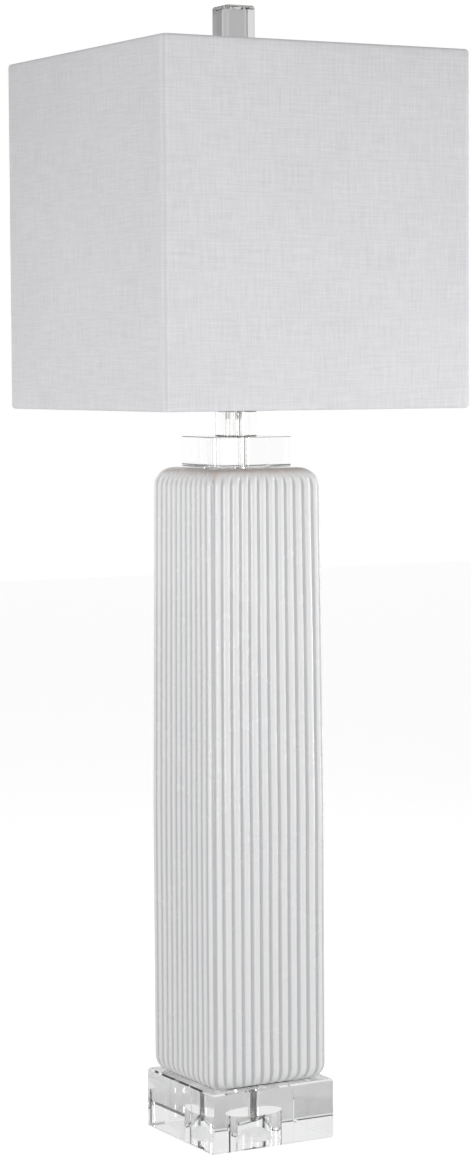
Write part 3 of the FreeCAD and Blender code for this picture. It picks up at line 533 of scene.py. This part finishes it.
def close_shell(piece):
    """Joins the column's seam and closes its foot and head with flat faces."""
    shape = bmesh.new()
    shape.from_mesh(piece.data)
    bmesh.ops.remove_doubles(shape, verts=shape.verts[:], dist=1e-6)
    rims = [edge for edge in shape.edges if edge.is_boundary]
    caps = bmesh.ops.holes_fill(shape, edges=rims, sides=0)["faces"]
    bmesh.ops.inset_individual(shape, faces=caps, thickness=CAP_RIM)
    bmesh.ops.recalc_face_normals(shape, faces=shape.faces[:])
    shape.to_mesh(piece.data)


def white_glaze():
    """Glossy white glaze that thins on high edges and pools in the grooves, with painted shade darkening
    the grooves.
    """
    finish, tree, surface = new_finish("white_glaze")
    set_surface(surface, IOR=1.5, Coat_Weight=0.7, Coat_Roughness=0.08)
    groove = add(tree, "ShaderNodeAttribute", attribute_name="groove").outputs["Fac"]
    shoulder = add(tree, "ShaderNodeAttribute", attribute_name="shoulder").outputs["Fac"]
    corner = add(tree, "ShaderNodeAttribute", attribute_name="corner").outputs["Fac"]
    foot = add(tree, "ShaderNodeAttribute", attribute_name="foot").outputs["Fac"]
    clouds = speckle(tree, 26.0, 0.75, 1.25, detail=4.0)
    # the grooves' colour is pooled glaze and painted shade together
    pool_and_shade = ((Term(tree, groove) - POOL_AND_SHADE_START) / (POOL_AND_SHADE_FULL - POOL_AND_SHADE_START)).clamped(0, 1) * Term(tree, clouds)
    pooled_and_shaded = between(tree, pool_and_shade.clamped(0, 1).socket, GLAZE_WHITE, GLAZE_POOLED_AND_SHADED)
    patches = Term(tree, speckle(tree, 55.0, -0.35, 1.15, detail=5.0))
    rise = (Term(tree, shoulder) * SHOULDER_BREAK_RISE).clamped(0, 1)
    shoulder_break = Term(tree, shoulder) * BREAK_GAIN + Term(tree, corner) - SHOULDER_BREAK_START
    shoulder_break = shoulder_break.clamped(0, 1) * rise * patches.clamped(0.5, 1)
    foot_break = (Term(tree, foot) * BREAK_GAIN - FOOT_BREAK_START).clamped(0, 1)
    foot_break = foot_break * FOOT_BREAK_SHARE * patches.clamped(0, 1)
    broken = (shoulder_break + foot_break).clamped(0, 1)
    blend = add(tree, "ShaderNodeMix", {"Factor": broken.socket}, data_type="RGBA")
    tree.links.new(pooled_and_shaded, blend.inputs["A"])
    blend.inputs["B"].default_value = GLAZE_BROKEN
    tree.links.new(blend.outputs["Result"], surface.inputs["Base Color"])
    tree.links.new(speckle(tree, 45.0, 0.20, 0.32), surface.inputs["Roughness"])
    raise_surface(tree, surface, speckle(tree, 60.0, 0.0, 1.0, detail=1.0), 0.06 * MM, 0.15)
    return finish


glaze = white_glaze()
column_low, column_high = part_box("column")
column_sizes = {
    "Foot Half": COLUMN_FOOT_HALF, "Top Half": COLUMN_TOP_HALF, "Corner": COLUMN_CORNER,
    "Ribs": RIB_COUNT, "Points": RIB_POINTS, "Rows": COLUMN_ROWS, "Rib Depth": RIB_DEPTH,
    "Groove Share": GROOVE_SHARE, "Foot Inset": FOOT_INSET, "Foot Rise": FOOT_RISE,
    "Head Inset": HEAD_INSET, "Head Rise": HEAD_RISE, "Z Low": column_low.z, "Z High": column_high.z,
    "Waver": RIB_WAVER}
column = grow("ribbed_shell", column_tree(glaze, column_sizes), column_sizes)
close_shell(column)
bushing_low, bushing_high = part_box("cord_bushing")
cord_height = (bushing_low.z + bushing_high.z) / 2
bore(column, (0, COLUMN_FOOT_HALF - CORD_HOLE_DEPTH, cord_height),
     (0, COLUMN_FOOT_HALF + DRILL_OVERRUN, cord_height), BUSHING_RADIUS)
crisp(column, 40)
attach(column, "lamp")
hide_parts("column")


# ------------------------------------------------------------------ cord bushing
# A snap-in bushing of white nylon lines the hole at the back, near the foot, where the cord
# would leave the column.

NYLON_COLOUR = (0.80, 0.80, 0.78, 1.0)
NYLON_SHADE = (0.72, 0.72, 0.70, 1.0)


def white_nylon():
    finish, tree, surface = new_finish("white_nylon")
    cloud = speckle(tree, 200.0, 0.0, 1.0)
    tree.links.new(between(tree, cloud, NYLON_COLOUR, NYLON_SHADE), surface.inputs["Base Color"])
    tree.links.new(speckle(tree, 300.0, 0.38, 0.5), surface.inputs["Roughness"])
    raise_surface(tree, surface, speckle(tree, 2500.0, 0.0, 1.0), 0.02 * MM, 0.4)
    return finish


dress("cord_bushing", white_nylon())


# ------------------------------------------------------------------ crystal plate and neck
# Two smaller blocks of the same crystal, drilled for the rod, stand on the column. A thin
# nickelled cap on the neck spreads the load of the nut.

BLOCK_BEVEL = 0.5 * MM

for name, node in (("plate_block", "crystal_plate"), ("neck_block", "crystal_neck")):
    block = polished_block(name, node, BLOCK_BEVEL)
    block_low, block_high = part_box(node)
    bore(block, (0, 0, block_low.z - DRILL_OVERRUN), (0, 0, block_high.z + DRILL_OVERRUN), ROD_HOLE_RADIUS)
    crisp(block)
    block.data.materials.append(crystal)
    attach(block, "lamp")
    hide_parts(node)
dress("neck_cap", nickel)


# ------------------------------------------------------------------ harp
# A saddle under the socket holds the harp, a bow of bent wire, by two sliding ferrules. A
# stud turns in the seat at the harp's top and carries the shade. All are nickel-plated.

STUD_THREAD_RADIUS = 3.1 * MM
STUD_THREAD_PITCH = 0.94 * MM
STUD_THREAD_DEPTH = 0.12 * MM
STUD_THREAD_HEIGHT = 11.0 * MM

for node in ("harp_saddle", "harp", "ferrule_left", "ferrule_right", "harp_stud"):
    dress(node, nickel)
stud_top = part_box("harp_stud")[1].z
stud_thread = thread("stud_thread", nickel, STUD_THREAD_RADIUS - STUD_THREAD_DEPTH / 2,
                     STUD_THREAD_PITCH, STUD_THREAD_DEPTH, stud_top - STUD_THREAD_HEIGHT,
                     stud_top - STUD_THREAD_DEPTH)
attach(stud_thread, "stud")


# ------------------------------------------------------------------ lamp socket
# A spun cap and a drawn shell snap together round a card liner and a moulded insulator. The
# insulator carries two terminal screws, a brass cup with a rolled thread for the bulb, and
# the sprung centre contact.

BULB_THREAD_PITCH = 3.6 * MM
BULB_THREAD_RIDGE = 0.55 * MM
BULB_BORE_RADIUS = 13.3 * MM
BULB_THREAD_START = 1.5 * MM
BULB_THREAD_END = 1.0 * MM
BRASS_COLOUR = (0.74, 0.56, 0.27, 1.0)
BRASS_TARNISH = (0.50, 0.36, 0.17, 1.0)
CARD_COLOUR = (0.36, 0.31, 0.25, 1.0)
CARD_FIBRE = (0.27, 0.23, 0.18, 1.0)
MOULDING_COLOUR = (0.035, 0.034, 0.033, 1.0)
MOULDING_GREY = (0.055, 0.053, 0.05, 1.0)


def stamped_brass():
    finish, tree, surface = new_finish("stamped_brass")
    set_surface(surface, Metallic=1.0)
    tarnish = speckle(tree, 140.0, -0.3, 1.0)
    tree.links.new(between(tree, tarnish, BRASS_COLOUR, BRASS_TARNISH), surface.inputs["Base Color"])
    tree.links.new(speckle(tree, 200.0, 0.18, 0.4), surface.inputs["Roughness"])
    raise_surface(tree, surface, speckle(tree, 1200.0, 0.0, 1.0), 0.02 * MM, 0.4)
    return finish


def grey_card():
    finish, tree, surface = new_finish("grey_card")
    fibres = speckle(tree, 500.0, 0.0, 1.0, detail=6.0, stretch=(1, 1, 0.2))
    tree.links.new(between(tree, fibres, CARD_COLOUR, CARD_FIBRE), surface.inputs["Base Color"])
    set_surface(surface, Roughness=0.9)
    raise_surface(tree, surface, fibres, 0.08 * MM, 0.7)
    return finish


def dark_moulding(name, roughness_low, roughness_high):
    """Black thermoset, moulded, with a faint orange-peel surface."""
    finish, tree, surface = new_finish(name)
    cloud = speckle(tree, 300.0, 0.0, 1.0)
    tree.links.new(between(tree, cloud, MOULDING_COLOUR, MOULDING_GREY), surface.inputs["Base Color"])
    tree.links.new(speckle(tree, 400.0, roughness_low, roughness_high), surface.inputs["Roughness"])
    raise_surface(tree, surface, speckle(tree, 1100.0, 0.0, 1.0), 0.03 * MM, 0.5)
    return finish


brass = stamped_brass()
for node in ("socket_cap", "socket_shell"):
    dress(node, nickel)
dress("socket_set_screw", zinc)
dress("socket_liner", grey_card())
dress("socket_insulator", dark_moulding("black_moulding", 0.35, 0.5))
for node in ("terminal_screws", "screw_shell", "centre_contact"):
    dress(node, brass)
shell_low, shell_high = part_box("screw_shell")
bulb_thread = thread("bulb_thread", brass, BULB_BORE_RADIUS, BULB_THREAD_PITCH, BULB_THREAD_RIDGE,
                     shell_low.z + BULB_THREAD_START, shell_high.z - BULB_THREAD_END, crest_points=10)
crisp(bulb_thread, 60)
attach(bulb_thread, "lamp")


# ------------------------------------------------------------------ switch knob
# A fluted black knob, moulded on the stem of the turn switch, points out of the socket's
# shell towards the front.

dress("switch_knob", dark_moulding("black_knob", 0.22, 0.34))


# ------------------------------------------------------------------ shade frame
# Two square rings of coated wire stiffen the shade. A spider of four nickelled arms, welded
# to the upper ring, carries it on the harp's stud. The liner is a sheet of white styrene.

COAT_COLOUR = (0.82, 0.82, 0.81, 1.0)
COAT_SHADE = (0.74, 0.74, 0.73, 1.0)
STYRENE_COLOUR = (0.86, 0.86, 0.85, 1.0)
STYRENE_SHADE = (0.80, 0.80, 0.79, 1.0)


def coated_wire():
    finish, tree, surface = new_finish("coated_wire")
    cloud = speckle(tree, 160.0, 0.0, 1.0)
    tree.links.new(between(tree, cloud, COAT_COLOUR, COAT_SHADE), surface.inputs["Base Color"])
    tree.links.new(speckle(tree, 240.0, 0.3, 0.45), surface.inputs["Roughness"])
    raise_surface(tree, surface, speckle(tree, 900.0, 0.0, 1.0), 0.03 * MM, 0.5)
    return finish


def white_styrene():
    finish, tree, surface = new_finish("white_styrene")
    cloud = speckle(tree, 12.0, 0.0, 1.0)
    tree.links.new(between(tree, cloud, STYRENE_COLOUR, STYRENE_SHADE), surface.inputs["Base Color"])
    tree.links.new(speckle(tree, 30.0, 0.42, 0.55), surface.inputs["Roughness"])
    raise_surface(tree, surface, speckle(tree, 700.0, 0.0, 1.0), 0.03 * MM, 0.4)
    return finish


wire_coat = coated_wire()
for node in ("shade_top_wire", "shade_bottom_wire"):
    dress(node, wire_coat)
dress("spider_fitter", nickel)
dress("shade_liner", white_styrene())


# ------------------------------------------------------------------ linen shade
# One length of white slubbed linen is laminated to the liner, turned in over both wires as a
# narrow hem, and lapped in a glued seam at the back.

SHADE_CORNER = 6.0 * MM
LINEN_THICKNESS = 0.8 * MM
HEM_TURN_RADIUS = 2.3 * MM
HEM_DEPTH = 7.0 * MM
HEM_CORNER = 1.2 * MM
HEM_TURN_STEPS = 8
CORNER_STEPS = 8
FLAT_STEPS = 56
WALL_STEPS = 60
WAVE_HEIGHT = 0.16 * MM
WAVE_SCALE = 22.0
SEAM_WIDTH = 11.0 * MM
SEAM_FROM_CORNER = 16.0 * MM
SEAM_PROUD = 0.45 * MM
SEAM_END = 2.4 * MM
SEAM_BEVEL = 0.25 * MM
LAP_WEAVE_SHIFT = (0.31, 0.17)
THREAD_PITCH = 0.72 * MM
LINEN_LIGHT = (0.768, 0.764, 0.785, 1.0)
LINEN_DARK = (0.652, 0.647, 0.672, 1.0)
LINEN_SPECK = (0.22, 0.20, 0.19, 1.0)
SLUB_CONTRAST = 4.2
CLOUD_CONTRAST = 0.5
WEAVE_CONTRAST = 0.25
TONE_MIDDLE = 0.4
SPECK_CELLS = 34.0
SPECK_RARITY = 0.93
SPECK_RADIUS = 0.022
CREASE_PAINTED_SHADE_REACH = 1.6 * MM
CREASE_PAINTED_SHADE = 0.9

shade_low, shade_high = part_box("shade_linen")
linen_half = (shade_high.x - shade_low.x) / 2 - LINEN_THICKNESS / 2


def hem_profile():
    """Centre line of the cloth, from the lower hem, round the wires, to the upper hem."""
    far = 2 * HEM_TURN_RADIUS
    z_turn_low = shade_low.z + LINEN_THICKNESS / 2 + HEM_TURN_RADIUS
    z_turn_high = shade_high.z - LINEN_THICKNESS / 2 - HEM_TURN_RADIUS
    points = [(far, shade_low.z + HEM_DEPTH)]
    for k in range(HEM_TURN_STEPS + 1):
        turn = math.pi * k / HEM_TURN_STEPS
        points.append((HEM_TURN_RADIUS * (1 + math.cos(turn)),
                       z_turn_low - HEM_TURN_RADIUS * math.sin(turn)))
    for k in range(1, WALL_STEPS):
        points.append((0.0, z_turn_low + (z_turn_high - z_turn_low) * k / WALL_STEPS))
    for k in range(HEM_TURN_STEPS + 1):
        turn = math.pi * k / HEM_TURN_STEPS
        points.append((HEM_TURN_RADIUS * (1 - math.cos(turn)),
                       z_turn_high + HEM_TURN_RADIUS * math.sin(turn)))
    points.append((far, shade_high.z - HEM_DEPTH))
    return points


def square_ring(half, corner):
    """Points round a rounded square, the same number for every size."""
    points = []
    flat = half - corner
    for side in range(4):
        turn = Matrix.Rotation(math.pi / 2 * side, 2)
        for k in range(FLAT_STEPS):
            points.append(turn @ Vector((half, -flat + 2 * flat * k / FLAT_STEPS)))
        for k in range(CORNER_STEPS):
            angle = math.pi / 2 * k / CORNER_STEPS
            points.append(turn @ Vector((flat + corner * math.cos(angle), flat + corner * math.sin(angle))))
    return points


def linen_cloth():
    """The cloth as one sheet with its own flat coordinates, in metres, as its UV map."""
    profile = hem_profile()
    lengths = [0.0]
    for before, after in zip(profile, profile[1:]):
        lengths.append(lengths[-1] + math.dist(before, after))
    shape = bmesh.new()
    flat_map = shape.loops.layers.uv.new("cloth")
    rings = []
    for inset, z in profile:
        ring = []
        for spot in square_ring(linen_half - inset, max(SHADE_CORNER - inset, HEM_CORNER)):
            wave = noise.noise(Vector((spot.x, spot.y, z)) * WAVE_SCALE) * WAVE_HEIGHT
            spot = spot * (1 + (wave if inset == 0 else 0) / linen_half)
            ring.append(shape.verts.new((spot.x, spot.y, z)))
        rings.append(ring)
    outer = square_ring(linen_half, SHADE_CORNER)
    around = [0.0]
    for before, after in zip(outer, outer[1:] + outer[:1]):
        around.append(around[-1] + (after - before).length)
    count = len(outer)
    for j in range(len(rings) - 1):
        for k in range(count):
            after = (k + 1) % count
            face = shape.faces.new((rings[j][k], rings[j][after], rings[j + 1][after], rings[j + 1][k]))
            corners = ((k, j), (k + 1, j), (k + 1, j + 1), (k, j + 1))
            for loop, (u, v) in zip(face.loops, corners):
                loop[flat_map].uv = (around[u], lengths[v])
    mesh = bpy.data.meshes.new("linen_cover")
    shape.to_mesh(mesh)
    return link_piece("linen_cover", mesh), (around[-1], lengths[-1])


def slubbed_linen():
    """Plain weave of uneven yarns: fine threads both ways, thick slubs and rare dark specks, with a line of
    painted shade down each corner.
    """
    finish, tree, surface = new_finish("slubbed_linen")
    cloth = add(tree, "ShaderNodeUVMap", uv_map="cloth").outputs[0]

    def yarn(along, across, detail, seed):
        """Streaks in the cloth: so many to the metre along it and across it."""
        turned = add(tree, "ShaderNodeMapping", {
            "Vector": cloth, "Scale": (along, across, 1.0), "Location": (seed, seed * 0.7, 0.0)})
        return Term(tree, add(tree, "ShaderNodeTexNoise", {
            "Vector": turned.outputs[0], "Scale": 1.0, "Detail": detail, "Roughness": 0.6}).outputs[0])

    flat = add(tree, "ShaderNodeSeparateXYZ", {0: cloth})
    warp = (Term(tree, flat.outputs["X"]) * (2 * math.pi / THREAD_PITCH)).calc("SINE")
    weft = (Term(tree, flat.outputs["Y"]) * (2 * math.pi / THREAD_PITCH)).calc("SINE")
    weave = (warp * weft + 1) * 0.5
    weft_slub = yarn(along=28.0, across=620.0, detail=2.0, seed=3.1)
    warp_slub = yarn(along=620.0, across=34.0, detail=2.0, seed=8.7)
    weft_fine = yarn(along=90.0, across=1500.0, detail=1.0, seed=5.3)
    warp_fine = yarn(along=1500.0, across=90.0, detail=1.0, seed=1.9)
    cloud = yarn(along=9.0, across=9.0, detail=3.0, seed=4.4)
    slub = (weft_slub + warp_slub + weft_fine * 0.6 + warp_fine * 0.6) * (1 / 3.2)
    tone = ((slub - 0.5) * SLUB_CONTRAST + (cloud - 0.5) * CLOUD_CONTRAST
            + (weave - 0.5) * WEAVE_CONTRAST + TONE_MIDDLE).clamped(-0.2, 1.4)
    side_length = 2 * (linen_half - SHADE_CORNER)
    corner_length = math.pi / 2 * SHADE_CORNER
    quarter = side_length + corner_length
    # painted shade: a darker line down the middle of each corner of the shade
    step = Term(tree, flat.outputs["X"]) * (1 / quarter)
    crease_way = step.calc("FRACT") * quarter - side_length - corner_length / 2
    painted_crease_shade = (crease_way.calc("ABSOLUTE") * (-1 / CREASE_PAINTED_SHADE_REACH) + 1).clamped(0, 1)
    tone = tone + painted_crease_shade * CREASE_PAINTED_SHADE
    woven = between(tree, tone.clamped(0, 1).socket, LINEN_LIGHT, LINEN_DARK)
    cells = add(tree, "ShaderNodeTexVoronoi", {"Vector": cloth, "Scale": SPECK_CELLS, "Randomness": 1.0})
    pick = add(tree, "ShaderNodeSeparateColor", {0: cells.outputs["Color"]})
    rare = Term(tree, pick.outputs[0]).calc("GREATER_THAN", SPECK_RARITY)
    near = Term(tree, cells.outputs["Distance"]).calc("LESS_THAN", SPECK_RADIUS)
    speck = add(tree, "ShaderNodeMix", {"Factor": (rare * near).socket}, data_type="RGBA")
    tree.links.new(woven, speck.inputs["A"])
    speck.inputs["B"].default_value = LINEN_SPECK
    tree.links.new(speck.outputs["Result"], surface.inputs["Base Color"])
    set_surface(surface, Roughness=0.92, Sheen_Weight=0.25, Sheen_Roughness=0.5, Specular_IOR_Level=0.2)
    relief = (slub * 1.6 + weave * 0.5).socket
    raise_surface(tree, surface, relief, 0.25 * MM, 0.5)
    return finish


cover, cloth_size = linen_cloth()
linen = slubbed_linen()
skin = cover.modifiers.new("cloth", "SOLIDIFY")
skin.thickness, skin.offset = LINEN_THICKNESS, 0.0
keep_evaluated(cover)
crisp(cover, 60)
cover.data.materials.append(linen)
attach(cover, "shade")
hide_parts("shade_linen")


def seam_lap():
    """The glued lap of the seam: the cloth's free edge lies over its start."""
    x_near = -(linen_half - SEAM_FROM_CORNER)
    y_face = shade_high.y
    low = Vector((x_near, y_face - LINEN_THICKNESS / 2, shade_low.z + SEAM_END))
    high = Vector((x_near + SEAM_WIDTH, y_face + SEAM_PROUD, shade_high.z - SEAM_END))
    shape = bmesh.new()
    bmesh.ops.create_cube(shape, size=1, matrix=Matrix.Translation((low + high) / 2)
                          @ Matrix.Diagonal((*(high - low), 1)))
    upright = [e for e in shape.edges if abs((e.verts[0].co - e.verts[1].co).normalized().z) > 0.9]
    bmesh.ops.subdivide_edges(shape, edges=upright, cuts=WALL_STEPS, use_grid_fill=True)
    outer = [e for e in shape.edges if all(v.co.y > y_face for v in e.verts)]
    rim = [e for e in outer if not e.is_manifold or any(abs(f.normal.y) < 0.5 for f in e.link_faces)]
    bmesh.ops.bevel(shape, geom=rim, offset=SEAM_BEVEL, segments=2, profile=0.5, affect="EDGES")
    flat_map = shape.loops.layers.uv.new("cloth")
    across, along = LAP_WEAVE_SHIFT
    for face in shape.faces:
        for loop in face.loops:
            loop[flat_map].uv = (loop.vert.co.x + across, loop.vert.co.z + along)
    mesh = bpy.data.meshes.new("linen_lap")
    shape.to_mesh(mesh)
    mesh.materials.append(linen)
    return link_piece("linen_lap", mesh)


lap = seam_lap()
crisp(lap, 60)
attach(lap, "shade")


# ------------------------------------------------------------------ finial
# A turned, nickelled base screws on the stud and clamps the shade. A clear crystal block with
# wider bevels is glued over its spigot.

FINIAL_BEVEL = 1.6 * MM
SPIGOT_HOLE_RADIUS = 4.8 * MM

finial_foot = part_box("finial_crystal")[0].z
spigot_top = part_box("finial_base")[1].z
finial_block = polished_block("finial_block", "finial_crystal", FINIAL_BEVEL)
bore(finial_block, (0, 0, finial_foot - DRILL_OVERRUN), (0, 0, spigot_top + AIR_FILM), SPIGOT_HOLE_RADIUS)
crisp(finial_block)
finial_block.data.materials.append(crystal)
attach(finial_block, "finial")
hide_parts("finial_crystal")
dress("finial_base", nickel)


# ------------------------------------------------------------------ studio
# A pale floor that runs out to white, two tall strip lights, two small fill lights, and the
# camera where the photographer stood, two and a half metres away.

PHOTO_HEIGHT = 1158
FOCAL_PIXELS = 3037.5
CAMERA_DISTANCE = 2.5100
CAMERA_AZIMUTH = -29.247
CAMERA_HEIGHT = 0.6429
CAMERA_PITCH = -4.064
CAMERA_ROLL = -0.337
CAMERA_SWING = 0.024
FLOOR_HALF = 6.0
FLOOR_DROP = 0.3 * MM
FLOOR_COLOUR = (0.82, 0.82, 0.82, 1.0)
AIM_HEIGHT = 0.5
FLOOR_GLOW = 0.60
GLOW_IN_GLASS = 0.06
PAINTED_LIGHT_UNDER_BASE = 0.45
ROOM_LIGHT = 0.40
ROOM_LEAN = 0.08
BRIGHT_SIDE = (0.6, -0.8)
HORIZON_LIGHT = 1.0
BACKDROP_BEHIND = 0.46
BACKDROP_BESIDE = 0.74
CEILING_LIGHT = 0.85
CAMERA_SIDE_LIGHT = 0.28
BEHIND_CAMERA_LIGHT = 0.10
BACKDROP_EDGE = (-1.0, -0.55)
CAMERA_SIDE_EDGE = (0.0, 0.4)
BEHIND_CAMERA_EDGE = (0.86, 0.92)
HORIZON_TOP = (0.06, 0.075)
CEILING_EDGE = (0.15, 0.20)


def studio_floor():
    """Holds the lamp's shadow, glows to the camera as far as white, and less through glass, except for a
    pool of painted light on the floor beneath the base.
    """
    shape = bmesh.new()
    bmesh.ops.create_grid(shape, x_segments=1, y_segments=1, size=FLOOR_HALF)
    mesh = bpy.data.meshes.new("floor")
    shape.to_mesh(mesh)
    mesh.transform(Matrix.Translation((0, 0, -FLOOR_DROP)))
    floor = link_piece("floor", mesh)
    finish, tree, surface = new_finish("pale_floor")
    set_surface(surface, Base_Color=FLOOR_COLOUR, Roughness=0.8, Specular_IOR_Level=0.2)
    seen = Term(tree, add(tree, "ShaderNodeLightPath").outputs["Is Camera Ray"])
    through = Term(tree, add(tree, "ShaderNodeLightPath").outputs["Is Transmission Ray"])
    spot = add(tree, "ShaderNodeSeparateXYZ", {0: add(tree, "ShaderNodeTexCoord").outputs["Object"]})
    off_centre = Term(tree, spot.outputs["X"]).calc("ABSOLUTE").calc(
        "MAXIMUM", Term(tree, spot.outputs["Y"]).calc("ABSOLUTE"))
    # painted light: the floor under the base glows brighter to rays through the glass
    glass_glow_and_painted_light = off_centre.calc("LESS_THAN", base_high.x) * (PAINTED_LIGHT_UNDER_BASE - GLOW_IN_GLASS) + GLOW_IN_GLASS
    glow = add(tree, "ShaderNodeEmission", {
        "Strength": (seen * FLOOR_GLOW).calc("MAXIMUM", through * glass_glow_and_painted_light).socket})
    both = add(tree, "ShaderNodeAddShader", {0: surface.outputs[0], 1: glow.outputs[0]})
    out = tree.nodes["Material Output"]
    tree.links.new(both.outputs[0], out.inputs["Surface"])
    mesh.materials.append(finish)


def studio_world():
    """White to the camera; to the lamp, a soft room with a bright horizon and a grey backdrop."""
    world = bpy.data.worlds.new("studio")
    bpy.context.scene.world = world
    world.use_nodes = True
    tree = world.node_tree
    way = add(tree, "ShaderNodeTexCoord").outputs["Generated"]
    split = add(tree, "ShaderNodeSeparateXYZ", {0: way})
    east, north, up = (Term(tree, split.outputs[axis]) for axis in "XYZ")

    def ramp(value, edge, low, high):
        """Runs from one level to another while a value runs across an edge."""
        start, end = edge
        share = ((value - start) / (end - start)).clamped(0, 1)
        return share * (high - low) + low

    azimuth = math.radians(CAMERA_AZIMUTH)
    toward = east * math.sin(azimuth) - north * math.cos(azimuth)
    backdrop = ramp(toward, BACKDROP_EDGE, BACKDROP_BEHIND, BACKDROP_BESIDE)
    horizon = ramp(toward, BEHIND_CAMERA_EDGE, HORIZON_LIGHT, BEHIND_CAMERA_LIGHT)
    low_edge = ramp(up, HORIZON_TOP, 0.0, 1.0)
    high_edge = ramp(up, CEILING_EDGE, 0.0, 1.0)
    camera_side = ramp(toward, CAMERA_SIDE_EDGE, 0.0, 1.0)
    backdrop = backdrop + (backdrop * -1 + CAMERA_SIDE_LIGHT) * camera_side
    level = (horizon - backdrop) * (low_edge * -1 + 1) + backdrop
    level = level + (level * -1 + CEILING_LIGHT) * high_edge
    room = (east * BRIGHT_SIDE[0] + north * BRIGHT_SIDE[1]) * ROOM_LEAN + ROOM_LIGHT
    path = add(tree, "ShaderNodeLightPath")
    spread = Term(tree, path.outputs["Is Diffuse Ray"])
    seen = Term(tree, path.outputs["Is Camera Ray"])
    level = level + (level * -1 + room) * spread
    strength = level + (level * -1 + 1) * seen
    back = tree.nodes["Background"]
    back.inputs["Color"].default_value = (1, 1, 1, 1)
    tree.links.new(strength.socket, back.inputs["Strength"])


def soft_lamp(name, azimuth, distance, height, width, tall, watts, mirrored):
    """A soft box that faces the lamp's middle; only a mirrored one shows in glass and glaze."""
    light = bpy.data.lights.new(name, "AREA")
    light.shape, light.size, light.size_y, light.energy = "RECTANGLE", width, tall, watts
    box = bpy.data.objects.new(name, light)
    turn = math.radians(azimuth)
    box.location = (math.sin(turn) * distance, -math.cos(turn) * distance, height)
    box.visible_camera = False
    box.visible_glossy = box.visible_transmission = mirrored
    aim = Vector((0, 0, AIM_HEIGHT)) - box.location
    box.rotation_euler = aim.to_track_quat("-Z", "Y").to_euler()
    bpy.context.scene.collection.objects.link(box)


def photographers_camera():
    """A long lens, fitted to the edges of the lamp in the photograph."""
    lens = bpy.data.cameras.new("camera")
    lens.sensor_width = 36.0
    lens.lens = FOCAL_PIXELS / PHOTO_HEIGHT * lens.sensor_width
    lens.clip_start, lens.clip_end = 0.1, 50.0
    camera = bpy.data.objects.new("camera", lens)
    azimuth = math.radians(CAMERA_AZIMUTH)
    facing = azimuth + math.radians(CAMERA_SWING)
    pitch, roll = math.radians(CAMERA_PITCH), math.radians(CAMERA_ROLL)
    level = Vector((-math.sin(facing), math.cos(facing), 0))
    right = Vector((math.cos(facing), math.sin(facing), 0))
    forward = level * math.cos(pitch) + Vector((0, 0, 1)) * math.sin(pitch)
    up = Vector((0, 0, 1)) * math.cos(pitch) - level * math.sin(pitch)
    across = right * math.cos(roll) + up * math.sin(roll)
    upright = up * math.cos(roll) - right * math.sin(roll)
    pose = Matrix((across, upright, -forward)).transposed().to_4x4()
    pose.translation = (math.sin(azimuth) * CAMERA_DISTANCE, -math.cos(azimuth) * CAMERA_DISTANCE,
                        CAMERA_HEIGHT)
    camera.matrix_world = pose
    bpy.context.scene.collection.objects.link(camera)
    bpy.context.scene.camera = camera


studio_floor()
studio_world()
soft_lamp("left_strip", -44, 1.5, 0.62, 0.20, 1.2, 7.5, True)
soft_lamp("right_strip", 84, 1.5, 0.62, 0.20, 1.2, 7.5, True)
soft_lamp("left_fill", -100, 0.8, 0.5, 0.5, 0.3, 1.45, False)
soft_lamp("right_fill", 24, 0.8, 0.5, 0.5, 0.3, 1.75, False)
photographers_camera()
bpy.context.scene.view_settings.view_transform = "Standard"
